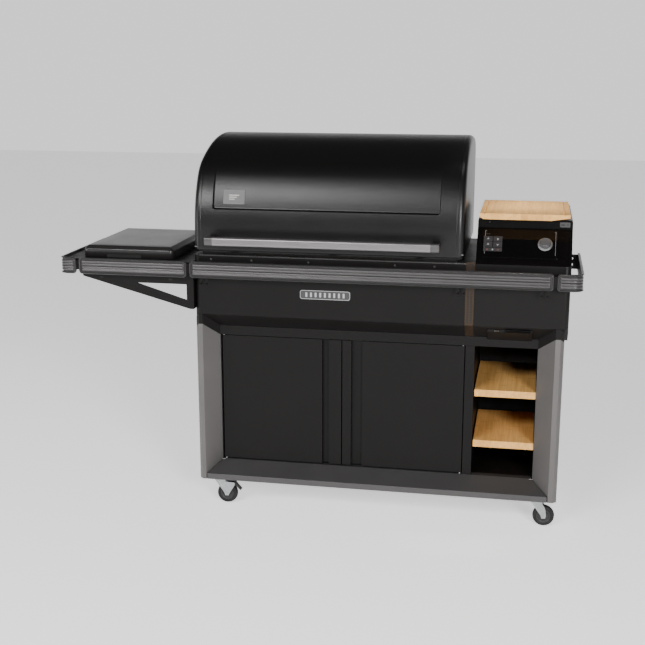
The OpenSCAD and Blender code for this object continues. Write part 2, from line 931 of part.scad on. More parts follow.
// A corner piece with its outer corner at (0, 0), reaching towards +x and back along +y
module corner_rail(width, length) {
    r = 34;
    t = plate_t;
    difference() {
        translate([0, 0, rail_bottom]) linear_extrude(rail_height) {
            difference() {
                union() {
                    translate([r, r]) circle(r = r);
                    translate([r, 0]) square([width - r, 2 * r]);
                    translate([0, r]) square([2 * r, length - r]);
                }
                translate([r, r]) circle(r = r - t);
                translate([r, t]) square([width, 3 * r]);
                translate([t, r]) square([3 * r, length]);
            }
        }
        for (i = [0 : 4]) {
            z = rail_bottom + 6 + (rail_height - 12) * i / 4;
            translate([0, 0, z - 1.3]) linear_extrude(2.6) {
                translate([-2, r]) square([4.2, length - r - 6]);
                translate([r, -2]) square([width - r - 6, 4.2]);
                translate([r, r]) difference() {
                    circle(r = r + 1);
                    circle(r = r - 2.2);
                    translate([0, -2 * r]) square(4 * r);
                    translate([-2 * r, 0]) square(4 * r);
                }
            }
        }
    }
}

module corner_rails() {
    length = side_rail_back - rail_front;
    color(graphite) {
        translate([-rail_width / 2, rail_front, 0]) corner_rail(left_corner_width, length);
        translate([rail_width / 2, rail_front, 0]) mirror([1, 0, 0])
            corner_rail(right_corner_width, length);
    }
}

module hook_tab(x) {
    block([x - 4, rail_front + plate_t, rail_bottom - 22], [x + 4, rail_front + plate_t + 3, rail_top - 8]);
    block([x - 4, rail_front + 1, rail_bottom - 22], [x + 4, rail_front + plate_t + 3, rail_bottom - 19]);
}

module rail_mounts() {
    behind = rail_front + plate_t;
    inner = rail_width / 2 - plate_t;
    color(satin_black) {
        block([-inner + 30, behind, rail_bottom + 14], [inner - 30, behind + 6, rail_top - 10]);
        for (x = [-300, 50, 350, 650, 830])
            block([x, behind + 6, rail_bottom + 16], [x + 24, panel_front, rail_top - 12]);
        for (x = [-388, -368, 500, 520, 775, 795])
            hook_tab(x);
        // Rear brackets between the side rails and the body
        difference() {
            block([body_right, side_rail_back - 30, rail_bottom + 2],
                [inner, side_rail_back - 27, rail_top - 3]);
            for (z = [rail_bottom + 18, rail_top - 18])
                rod_y(side_rail_back - 40, side_rail_back, body_right + 12, z, 4);
        }
    }
}

shelf_left = -rail_width / 2 + plate_t + 8;
shelf_right = body_left - 2;
shelf_top = rail_top - 6;

module side_shelf() {
    color(satin_black)
    difference() {
        pan([shelf_left, rail_front + plate_t + 8, shelf_top - 32], [shelf_right, 215, shelf_top], 2, "bottom");
        block([-812, -210, shelf_top - 5], [-518, 190, shelf_top + 5]);
    }
}

// A triangular arm with a window, in the (x, z) plane
module shelf_arm(y) {
    top = shelf_top - 32;
    tip = -832;
    root = body_left;
    low = rail_top - 176;
    window = [[-628, rail_top - 88], [root - 26, rail_top - 88], [root - 26, rail_top - 143]];
    difference() {
        along_y(y, y + 3, [[tip, top], [root, top], [root, low], [root - 14, low], [tip, rail_top - 70]]);
        along_y(y - 1, y + 4, window);
    }
    block([root - 3, y, low], [root, y + 50, top]);
    block([tip + 20, y, top - 3], [root, y + 24, top]);
}

module shelf_arms() {
    color(satin_black) {
        shelf_arm(-250);
        shelf_arm(190);
    }
}

module cooktop() {
    color(satin_black) {
        pan([-810, -208, shelf_top - 62], [-520, 188, shelf_top + 6], 2, "back");
        block([-818, -214, shelf_top], [-512, 194, shelf_top + 8]);
    }
}

module cooktop_cover() {
    x0 = -836;
    x1 = -503;
    y0 = rail_front + 58;
    y1 = 205;
    top = rail_top + 35;
    t = 2;
    color(satin_black)
    difference() {
        plan_prism(x0, x1, y0, y1, shelf_top, top, 16);
        plan_prism(x0 + t, x1 - t, y0 + t, y1 - t, shelf_top - 1, top - t, 14);
        // Finger notch in the front
        block([-748, y0 - 1, shelf_top - 1], [-621, y0 + 3, shelf_top + 11]);
    }
}

// ---------------------------------------------------------------- hopper

function console_outline(t) = [
    [console_front + t, body_top - (t > 0 ? 5 : 0)],
    [console_front + t, console_fold + 0.35 * t],
    [console_back + t, console_top + 0.35 * t],
    [console_back + t, hopper_top + (t > 0 ? 5 : 0)],
    [hopper_back - t, hopper_top + (t > 0 ? 5 : 0)],
    [hopper_back - t, body_top - (t > 0 ? 5 : 0)]];

// Moves things onto the console's sloping face: x along it, y up the slope, z out of it
module on_console() {
    translate([0, console_front, console_fold]) rotate([90 - slope, 0, 0]) children();
}

panel_left = 573;
panel_right = 821;
panel_low = 25;
panel_high = 134;

module hopper_shell() {
    t = sheet;
    color(satin_black)
    difference() {
        intersection() {
            along_x(hopper_left, body_right, console_outline(0));
            plan_prism(hopper_left, body_right, console_front, hopper_back, body_top, hopper_top + 1, 14);
        }
        along_x(hopper_left + t, body_right - t, console_outline(t));
        on_console()
            block([panel_left + 4, panel_low + 4, -10], [panel_right - 4, panel_high - 4, 5]);
    }
}

module hopper_bin() {
    t = 2;
    top = hopper_top - 3;
    throat_top = 782;
    throat = auger_z + 26.4;
    mid = 950;
    // Outlines across and along the grill, set in by s
    function across(s) = [
        [562 + s, top + 5 * s], [860 - s, top + 5 * s], [860 - s, mid], [722 - s, throat_top],
        [722 - s, throat - s], [638 + s, throat - s], [638 + s, throat_top], [562 + s, mid]];
    function along(s) = [
        [console_back + 6 + s, top + 5 * s], [250 - s, top + 5 * s], [250 - s, mid],
        [48 - s, throat_top], [48 - s, throat - s], [-8 + s, throat - s], [-8 + s, throat_top],
        [console_back + 6 + s, mid]];
    color(steel)
    difference() {
        intersection() {
            along_y(-300, 300, across(0));
            along_x(500, 900, along(0));
        }
        intersection() {
            along_y(-301, 301, across(t));
            along_x(499, 901, along(t));
        }
    }
}

lid_left = hopper_left + 3;
lid_right = body_right - 3;
lid_top = board_bottom - 4;
lid_low = hopper_top - 20;

module hopper_lid() {
    t = 2;
    front = console_back - 4;
    back = hopper_back - 6;
    color(satin_black)
    difference() {
        union() {
            block([lid_left, front, hopper_top + 1], [lid_right, back, lid_top]);
            block([lid_left, front, lid_low], [lid_right, front + t, hopper_top + 2]);
            for (x = [lid_left + 20, lid_right - 44])
                block([x, front + 30, lid_top - 1], [x + 24, back - 30, board_bottom]);
        }
        block([lid_left + t, front + t, hopper_top], [lid_right - t, back - t, lid_top - t]);
    }
    // Knuckles round the lid's pins
    color(satin_black)
    for (x = [600, 822])
        difference() {
            union() {
                rod_x(x - 7.5, x + 7.5, lid_axis[0], lid_axis[1], 6);
                along_x(x - 7.5, x + 7.5, [
                    [lid_axis[0] - 5, lid_axis[1] + 2], [lid_axis[0] + 6, lid_axis[1]],
                    [lid_axis[0] + 4, lid_top - 1], [back - 2, lid_top - 1], [back - 2, hopper_top + 2],
                    [lid_axis[0] - 5, hopper_top + 2]]);
            }
            rod_x(x - 20, x + 20, lid_axis[0], lid_axis[1], pin_r + running);
        }
}

module cutting_board() {
    x0 = 561;
    x1 = 857;
    y0 = rail_front + 73;
    y1 = rail_front + 424;
    top = board_bottom + board_thickness;
    color(bamboo)
    difference() {
        block([x0, y0, board_bottom], [x1, y1, top]);
        // The underside is cut away towards the ends, as finger holds
        along_y(y0 - 1, y1 + 1, [[x1 - 62, board_bottom], [x1 + 1, board_bottom + 9], [x1 + 1, board_bottom - 1],
            [x1 - 62, board_bottom - 1]]);
        along_y(y0 - 1, y1 + 1, [[x0 + 12, board_bottom], [x0 - 1, board_bottom + 7], [x0 - 1, board_bottom - 1],
            [x0 + 12, board_bottom - 1]]);
        for (x = [x0 + 14, x1 - 20])
            block([x, y0 + 20, top - 3], [x + 5, y1 - 20, top + 1]);
    }
}

module control_panel() {
    color(satin_black)
    on_console()
    difference() {
        union() {
            block([panel_left, panel_low, 0.2], [panel_right, panel_high, 3]);
            block([panel_left + 5, panel_low + 5, -16], [panel_right - 5, panel_high - 5, 0.3]);
        }
        block([panel_left + 7, panel_low + 7, -17], [panel_right - 7, panel_high - 7, -1]);
        rod_z(-10, 10, dial_x, dial_up, 4 + running);
        block([display_left - 0.3, display_low - 0.3, 1.4], [display_left + 64.3, display_low + 59.3, 4]);
    }
}

dial_x = 779;
dial_up = 79;
display_left = 575;
display_low = 47;

module touch_display() {
    color([0.2, 0.2, 0.2])
    on_console()
        block([display_left, display_low, 1.4], [display_left + 64, display_low + 59, 3.2]);
}

module dial() {
    color(steel)
    on_console() translate([dial_x, dial_up, 0]) {
        rod_z(-8, 4, 0, 0, 4);
        rod_z(3.4, 7, 0, 0, dial_diameter / 2);
        rod_z(6.9, 18, 0, 0, dial_diameter / 2 - 6);
    }
}

// ---------------------------------------------------------------- auger and fan

module auger_tube() {
    x1 = 735;
    color(steel)
    difference() {
        rod_x(pot_x + 60, x1, auger_y, auger_z, 26);
        rod_x(pot_x + 59, x1 - 6, auger_y, auger_z, 24);
        rod_x(x1 - 10, x1 + 10, auger_y, auger_z, 6 + running);
        // Feed slot under the bin
        block([641, auger_y - 18, auger_z + 10], [719, auger_y + 18, auger_z + 40]);
    }
}

module auger_screw() {
    x0 = pot_x + 68;
    length = 725 - x0;
    pitch = 46;
    color(steel) {
        rod_x(x0, 752, auger_y, auger_z, 6);
        translate([x0, auger_y, auger_z]) rotate([0, 90, 0])
            linear_extrude(height = length, twist = -360 * length / pitch, slices = 240, segments = 4)
                translate([3, -1.5]) square([18, 3]);
    }
}

module auger_motor() {
    color(steel) {
        difference() {
            block([742, auger_y - 30, auger_z - 34], [774, auger_y + 30, auger_z + 26]);
            rod_x(741, 754, auger_y, auger_z, 6 + running);
        }
        rod_x(774, 832, auger_y, auger_z - 4, 24);
    }
    // Strap to the body's side
    color(steel)
        block([752, auger_y + 30, auger_z - 20], [body_right - 2, auger_y + 33, auger_z + 14]);
}

fan_x = 701;
fan_y = 170;
fan_z = 632;

module fan_housing() {
    low = [fan_x - 33, fan_y - 30, fan_z - 40];
    high = [fan_x + 33, fan_y + 30, recess_top + 6];
    color(satin_black) {
        difference() {
            block(low, high);
            rod_y(low.y + 2, high.y - 2, fan_x, fan_z, 30);
            rod_y(low.y - 1, low.y + 3, fan_x, fan_z, 18);
            rod_y(high.y - 10, high.y + 10, fan_x, fan_z, 3 + running);
        }
        // Duct towards the firepot
        rod_x(fan_x - 84, fan_x - 33, fan_y, fan_z + 8, 16);
        block([fan_x - 84, fan_y - 10, fan_z + 8], [fan_x - 64, fan_y + 10, recess_top + 30]);
    }
}

module fan_impeller() {
    color(steel) {
        rod_y(fan_y - 24, fan_y + 36, fan_x, fan_z, 3);
        rod_y(fan_y + 20, fan_y + 23, fan_x, fan_z, 26);
        for (a = [0 : 30 : 330])
            translate([fan_x, fan_y, fan_z]) rotate([0, a, 0])
                block([14, -20, -0.8], [26, 21, 0.8]);
    }
}

// Mains inlet with three blades, sunk into the back of the body
module power_inlet() {
    x = 714;
    z = 826;
    color(satin_black)
    difference() {
        union() {
            block([x - 23, body_back - 26, z - 13], [x + 23, body_back - sheet, z + 13]);
            block([x - 32, body_back, z - 17], [x + 32, body_back + 2.5, z + 17]);
            block([x - 23, body_back - 3, z - 13], [x + 23, body_back + 1, z + 13]);
        }
        block([x - 13, body_back - 20, z - 9], [x + 13, body_back + 5, z + 9]);
    }
    color(steel)
    for (blade = [[-7, -3], [0, 3], [7, -3]])
        block([x + blade[0] - 1, body_back - 21, z + blade[1] - 2.5],
            [x + blade[0] + 1, body_back - 4, z + blade[1] + 2.5]);
}

// ---------------------------------------------------------------- nodes

front_posts();
bottom_rail();
top_band();
cart_base();
cart_sides();
cart_back();
bay_divider();
bamboo_shelves();
left_door();
right_door();
hinge_pins();
hinge_brackets();
caster_plates();
fork_front_left();
fork_front_right();
fork_rear_left();
fork_rear_right();
wheel_front_left();
wheel_front_right();
wheel_rear_left();
wheel_rear_right();
brake_front_left();
brake_rear_left();
body_shroud();
vent_strip();
badge_plate();
cleanout_slide();
firebox();
firepot();
igniter_rod();
heat_baffle();
drip_tray();
cooking_grates();
grease_keg();
hood_shell();
hood_liner();
handle_bar();
handle_brackets();
label_plate();
rail_main_plate();
rail_left_plate();
corner_rails();
rail_mounts();
side_shelf();
shelf_arms();
cooktop();
cooktop_cover();
hopper_shell();
hopper_bin();
hopper_lid();
cutting_board();
control_panel();
touch_display();
dial();
auger_tube();
auger_screw();
auger_motor();
fan_housing();
fan_impeller();
power_inlet();
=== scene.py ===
"""The looks of a pellet smoker grill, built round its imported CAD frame. Metres, +Z up."""

import json
import math

import bmesh
import bpy
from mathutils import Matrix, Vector


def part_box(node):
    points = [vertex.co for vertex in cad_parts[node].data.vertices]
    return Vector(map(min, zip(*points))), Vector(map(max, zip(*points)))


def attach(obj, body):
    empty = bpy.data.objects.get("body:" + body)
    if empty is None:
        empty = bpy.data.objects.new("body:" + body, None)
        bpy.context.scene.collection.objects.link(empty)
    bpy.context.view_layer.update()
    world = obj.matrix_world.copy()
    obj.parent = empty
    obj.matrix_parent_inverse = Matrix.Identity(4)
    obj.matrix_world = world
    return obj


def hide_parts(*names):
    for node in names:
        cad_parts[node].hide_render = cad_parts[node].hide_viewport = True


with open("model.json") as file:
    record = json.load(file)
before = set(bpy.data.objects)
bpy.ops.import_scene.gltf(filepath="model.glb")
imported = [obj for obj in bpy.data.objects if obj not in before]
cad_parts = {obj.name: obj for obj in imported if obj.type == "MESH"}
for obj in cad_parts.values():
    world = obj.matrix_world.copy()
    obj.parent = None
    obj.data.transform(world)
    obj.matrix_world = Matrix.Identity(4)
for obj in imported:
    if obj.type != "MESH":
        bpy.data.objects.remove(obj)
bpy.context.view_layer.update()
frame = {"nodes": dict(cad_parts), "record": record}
NODES = frame["nodes"]
MM = 0.001


def low(node):
    """The low corner of a CAD node's box."""
    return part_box(node)[0]


def high(node):
    """The high corner of a CAD node's box."""
    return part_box(node)[1]


# ---------------------------------------------------------------- camera, lights and floor

def make_camera():
    """The camera stands in front and to the right, a little above the hood."""
    data = bpy.data.cameras.new("camera")
    data.lens = 62.5
    data.sensor_width = 36
    data.clip_end = 60
    camera = bpy.data.objects.new("camera", data)
    rail_top = high("rail_main_plate").z
    camera.location = (0.7369, low("rail_main_plate").y - 3.661, rail_top + 0.7025)
    camera.rotation_euler = (math.radians(90 - 13.55), 0, math.radians(10.73))
    bpy.context.scene.collection.objects.link(camera)
    bpy.context.scene.camera = camera


def area_light(name, place, target, size, power, spread_degrees=180):
    data = bpy.data.lights.new(name, "AREA")
    data.spread = math.radians(spread_degrees)
    data.shape = "RECTANGLE"
    data.size, data.size_y = size
    data.energy = power
    light = bpy.data.objects.new(name, data)
    light.location = place
    aim = Vector(target) - Vector(place)
    light.rotation_euler = aim.to_track_quat("-Z", "Y").to_euler()
    bpy.context.scene.collection.objects.link(light)


def make_lights():
    """A wide soft box high on the left, a key light low on the right and two small helpers."""
    area_light("soft_box_left", (-1.9, -4.7, 3.55), (0, 0, 1.1), (2.6, 0.9), 210)
    area_light("key_right", (2.6, -4.7, 2.2), (0.3, 0, 0.6), (1.3, 1.3), 240)
    area_light("low_left", (-3.9, -2.6, 1.0), (0, 0, 0.7), (1.0, 1.6), 45)
    area_light("board_top", (0.96, 0.1, 2.7), (0.7, 0, 1.1), (0.3, 0.3), 0.6, 16)


def make_world():
    """White behind the grill and low down at its sides, and dark above and in front."""
    world = bpy.data.worlds.new("studio")
    world.use_nodes = True
    tree = world.node_tree
    background = tree.nodes["Background"]
    place = tree.nodes.new("ShaderNodeTexCoord")
    split = tree.nodes.new("ShaderNodeSeparateXYZ")
    tree.links.new(place.outputs["Generated"], split.inputs["Vector"])

    def fade(source, first, last, low_out, high_out):
        node = tree.nodes.new("ShaderNodeMapRange")
        node.interpolation_type = "SMOOTHSTEP"
        tree.links.new(source, node.inputs["Value"])
        names = ("From Min", "From Max", "To Min", "To Max")
        for name, value in zip(names, (first, last, low_out, high_out)):
            node.inputs[name].default_value = value
        return node.outputs["Result"]

    behind = fade(split.outputs["Y"], -0.45, 0.1, 0.0, 1.0)
    low_down = fade(split.outputs["Z"], 0.14, 0.4, 1.0, 0.0)
    both = tree.nodes.new("ShaderNodeMath")
    both.operation = "MULTIPLY"
    tree.links.new(behind, both.inputs[0])
    tree.links.new(low_down, both.inputs[1])
    strength = fade(both.outputs["Value"], 0.0, 1.0, 0.06, 1.12)
    tree.links.new(strength, background.inputs["Strength"])
    background.inputs["Color"].default_value = (1.0, 1.0, 1.0, 1)
    bpy.context.scene.world = world


def make_floor():
    """A plain sheet of white paper."""
    mesh = bpy.data.meshes.new("floor")
    half = 14
    mesh.from_pydata([(-half, -half, 0), (half, -half, 0), (half, half, 0), (-half, half, 0)], [],
                     [(0, 1, 2, 3)])
    floor = bpy.data.objects.new("floor", mesh)
    bpy.context.scene.collection.objects.link(floor)
    material = bpy.data.materials.new("floor_paper")
    material.use_nodes = True
    shader = material.node_tree.nodes["Principled BSDF"]
    shader.inputs["Base Color"].default_value = (0.93, 0.93, 0.93, 1)
    shader.inputs["Roughness"].default_value = 0.9
    shader.inputs["Specular IOR Level"].default_value = 0.1
    shader.inputs["Emission Color"].default_value = (1, 1, 1, 1)
    shader.inputs["Emission Strength"].default_value = 0.82
    mesh.materials.append(material)


# ---------------------------------------------------------------- materials

class Graph:
    """Short names for the nodes that a material is made of."""

    def __init__(self, name, color, roughness, metallic=0.0, specular=0.5, coat=0.0):
        self.material = bpy.data.materials.new(name)
        self.material.use_nodes = True
        self.tree = self.material.node_tree
        self.shader = self.tree.nodes["Principled BSDF"]
        self.shader.inputs["Base Color"].default_value = (*color, 1)
        self.shader.inputs["Roughness"].default_value = roughness
        self.shader.inputs["Metallic"].default_value = metallic
        self.shader.inputs["Specular IOR Level"].default_value = specular
        self.shader.inputs["Coat Weight"].default_value = coat
        self.shader.inputs["Coat Roughness"].default_value = 0.06
        self.place = self.add("ShaderNodeTexCoord").outputs["Object"]

    def add(self, kind, **settings):
        node = self.tree.nodes.new(kind)
        for key, value in settings.items():
            setattr(node, key, value)
        return node

    def link(self, source, target):
        if hasattr(source, "is_output") or isinstance(source, bpy.types.NodeSocket):
            self.tree.links.new(source, target)
        else:
            target.default_value = source

    def stretch(self, scale):
        node = self.add("ShaderNodeMapping")
        self.link(self.place, node.inputs["Vector"])
        node.inputs["Scale"].default_value = scale
        return node.outputs["Vector"]

    def noise(self, scale, detail=3.0, rough=0.5, vector=None):
        node = self.add("ShaderNodeTexNoise")
        self.link(vector or self.place, node.inputs["Vector"])
        node.inputs["Scale"].default_value = scale
        node.inputs["Detail"].default_value = detail
        node.inputs["Roughness"].default_value = rough
        return node.outputs["Fac"]

    def remap(self, value, low_in, high_in, low_out, high_out):
        node = self.add("ShaderNodeMapRange")
        for socket, number in zip(node.inputs, (value, low_in, high_in, low_out, high_out)):
            self.link(number, socket)
        return node.outputs["Result"]

    def math(self, operation, a, b=0.0):
        node = self.add("ShaderNodeMath", operation=operation)
        self.link(a, node.inputs[0])
        self.link(b, node.inputs[1])
        return node.outputs["Value"]

    def mix(self, factor, a, b):
        node = self.add("ShaderNodeMix", data_type="RGBA")
        self.link(factor, node.inputs["Factor"])
        for value, socket in ((a, node.inputs[6]), (b, node.inputs[7])):
            self.link(value if isinstance(value, bpy.types.NodeSocket) else (*value, 1), socket)
        return node.outputs[2]

    def axis(self, which):
        node = self.add("ShaderNodeSeparateXYZ")
        self.link(self.place, node.inputs["Vector"])
        return node.outputs[which]

    def random(self, value):
        node = self.add("ShaderNodeTexWhiteNoise", noise_dimensions="1D")
        self.link(value, node.inputs["W"])
        return node.outputs["Value"]

    def edges(self, radius, low_in=0.02, high_in=0.25):
        """About 1 along sharp edges and 0 elsewhere."""
        bevel = self.add("ShaderNodeBevel", samples=4)
        bevel.inputs["Radius"].default_value = radius
        geometry = self.add("ShaderNodeNewGeometry")
        dot = self.add("ShaderNodeVectorMath", operation="DOT_PRODUCT")
        self.link(bevel.outputs["Normal"], dot.inputs[0])
        self.link(geometry.outputs["Normal"], dot.inputs[1])
        return self.remap(self.math("SUBTRACT", 1.0, dot.outputs["Value"]), low_in, high_in, 0.0, 1.0)

    def color(self, value):
        self.link(value, self.shader.inputs["Base Color"])

    def roughness(self, value):
        self.link(value, self.shader.inputs["Roughness"])

    def bump(self, height, distance, strength=1.0):
        node = self.add("ShaderNodeBump")
        node.inputs["Distance"].default_value = distance
        node.inputs["Strength"].default_value = strength
        self.link(height, node.inputs["Height"])
        previous = self.shader.inputs["Normal"]
        if previous.is_linked:
            self.link(previous.links[0].from_socket, node.inputs["Normal"])
        self.link(node.outputs["Normal"], self.shader.inputs["Normal"])


def tint(color, factor):
    return tuple(min(1.0, c * factor) for c in color)


def coated(name, color, roughness, grain, depth, metallic=0.0, specular=0.5, wear=1.6, flake=0.0,
           uneven=0.055):
    """Powder coat or paint: mottled tone, uneven gloss, an orange-peel grain and lighter edges."""
    g = Graph(name, color, roughness, metallic, specular)
    cloud = g.noise(5.0, 4.0)
    tone = g.mix(cloud, tint(color, 0.86), tint(color, 1.16))
    if flake:
        sparkle = g.remap(g.noise(2600, 1.0), 0.62, 0.78, 0.0, 1.0)
        tone = g.mix(sparkle, tone, tint(color, 1 + flake))
    worn = g.math("MULTIPLY", g.edges(0.0016), g.remap(g.noise(60, 5.0), 0.4, 0.75, 0.15, 0.7))
    g.color(g.mix(worn, tone, tint(color, wear)))
    smudges = g.noise(11.0, 5.0, 0.62)
    g.roughness(g.remap(smudges, 0.3, 0.7, roughness - uneven, roughness + uneven))
    g.bump(g.noise(grain, 2.0, 0.6), depth)
    g.bump(g.noise(grain / 9, 2.0), depth * 1.6, 0.5)
    return g.material


def brushed(name, color, roughness, along, metallic=1.0, wear=1.25):
    """Metal with fine scratches that run along one axis."""
    scale = [900.0, 900.0, 900.0]
    scale["xyz".index(along)] = 14.0
    g = Graph(name, color, roughness, metallic)
    lines = g.noise(1.0, 4.0, 0.65, g.stretch(scale))
    tone = g.mix(lines, tint(color, 0.8), tint(color, 1.15))
    g.color(g.mix(g.math("MULTIPLY", g.edges(0.0012), 0.5), tone, tint(color, wear)))
    g.roughness(g.remap(lines, 0.3, 0.7, roughness - 0.08, roughness + 0.1))
    g.bump(lines, 0.00006)
    g.bump(g.noise(9.0, 2.0), 0.0004, 0.3)
    return g.material


def plated(name, color, roughness):
    """Zinc plate: pale, cloudy, with soft crystal patches."""
    g = Graph(name, color, roughness, 0.85)
    cells = g.add("ShaderNodeTexVoronoi")
    g.link(g.place, cells.inputs["Vector"])
    cells.inputs["Scale"].default_value = 160
    patch = g.remap(cells.outputs["Distance"], 0.0, 0.7, 0.0, 1.0)
    tone = g.mix(patch, tint(color, 0.86), tint(color, 1.06))
    g.color(g.mix(g.remap(g.noise(30, 5.0), 0.45, 0.8, 0.0, 0.35), tone, tint(color, 0.6)))
    g.roughness(g.remap(g.noise(70, 4.0), 0.3, 0.7, roughness - 0.1, roughness + 0.12))
    g.bump(patch, 0.00008)
    return g.material


def wood(name, strip, pale, dark):
    """Laminated bamboo. The strips run front to back, each with its own tone and knuckles."""
    g = Graph(name, pale, 0.5, specular=0.18)
    x = g.axis("X")
    number = g.math("FLOOR", g.math("DIVIDE", x, strip))
    own = g.random(number)
    other = g.random(g.math("ADD", number, 37.5))
    fibre = g.noise(1.0, 5.0, 0.7, g.stretch((420.0, 9.0, 420.0)))
    streak = g.noise(1.0, 3.0, 0.6, g.stretch((95.0, 2.5, 95.0)))
    tone = g.mix(own, pale, tint(pale, 0.82))
    tone = g.mix(g.remap(streak, 0.35, 0.72, 0.0, 0.65), tone, dark)
    tone = g.mix(g.remap(fibre, 0.46, 0.66, 0.0, 0.4), tone, tint(dark, 0.75))
    # Knuckle lines: one thin dark line about every 0.2 m along each strip
    along = g.math("ADD", g.math("DIVIDE", g.axis("Y"), 0.21), g.math("MULTIPLY", other, 7.0))
    near = g.math("ABSOLUTE", g.math("SUBTRACT", g.math("FRACT", along), 0.5))
    knuckle = g.remap(near, 0.004, 0.02, 0.5, 0.0)
    tone = g.mix(knuckle, tone, tint(dark, 0.6))
    # Glue lines between the strips
    joint = g.math("ABSOLUTE", g.math("SUBTRACT", g.math("FRACT", g.math("DIVIDE", x, strip)), 0.5))
    glue = g.remap(joint, 0.47, 0.495, 0.0, 0.45)
    g.color(g.mix(glue, tone, tint(dark, 0.7)))
    g.roughness(g.remap(fibre, 0.3, 0.7, 0.42, 0.62))
    g.bump(fibre, 0.00018)
    g.bump(glue, 0.0002, 0.4)
    return g.material


def moulded(name, color, roughness, grain=420, depth=0.00025, dust=0.0, specular=0.4):
    """Rubber or plastic with a fine spark-eroded grain and a little dust."""
    g = Graph(name, color, roughness, specular=specular)
    tone = g.mix(g.noise(14, 4.0), tint(color, 0.8), tint(color, 1.3))
    settled = g.remap(g.noise(45, 6.0, 0.7), 0.5, 0.75, 0.0, dust)
    g.color(g.mix(settled, tone, (0.22, 0.21, 0.2)))
    g.roughness(g.remap(g.noise(30, 4.0), 0.3, 0.7, roughness - 0.07, roughness + 0.08))
    g.bump(g.noise(grain, 3.0), depth)
    return g.material


def glossy(name, color):
    """Gloss black glass with faint wipe marks."""
    g = Graph(name, color, 0.07, specular=0.35)
    g.color(g.mix(g.noise(3.0, 2.0), tint(color, 0.8), tint(color, 1.3)))
    wipes = g.noise(1.0, 4.0, 0.6, g.stretch((16.0, 60.0, 60.0)))
    g.roughness(g.remap(wipes, 0.4, 0.75, 0.05, 0.16))
    g.bump(g.noise(24, 2.0), 0.00003)
    return g.material


def seasoned(name, color, roughness, metallic, brown, blue):
    """Inner steel that has seen heat: brown and blue stains over a dull sheet."""
    g = Graph(name, color, roughness, metallic)
    stain = g.remap(g.noise(7.0, 6.0, 0.65), 0.42, 0.72, 0.0, 0.75)
    tone = g.mix(stain, color, brown)
    g.color(g.mix(g.remap(g.noise(4.0, 3.0), 0.6, 0.8, 0.0, 0.4), tone, blue))
    g.roughness(g.remap(g.noise(26, 5.0), 0.3, 0.7, roughness - 0.12, roughness + 0.16))
    g.bump(g.noise(500, 3.0), 0.00012)
    g.bump(g.noise(12, 3.0), 0.0006, 0.3)
    return g.material


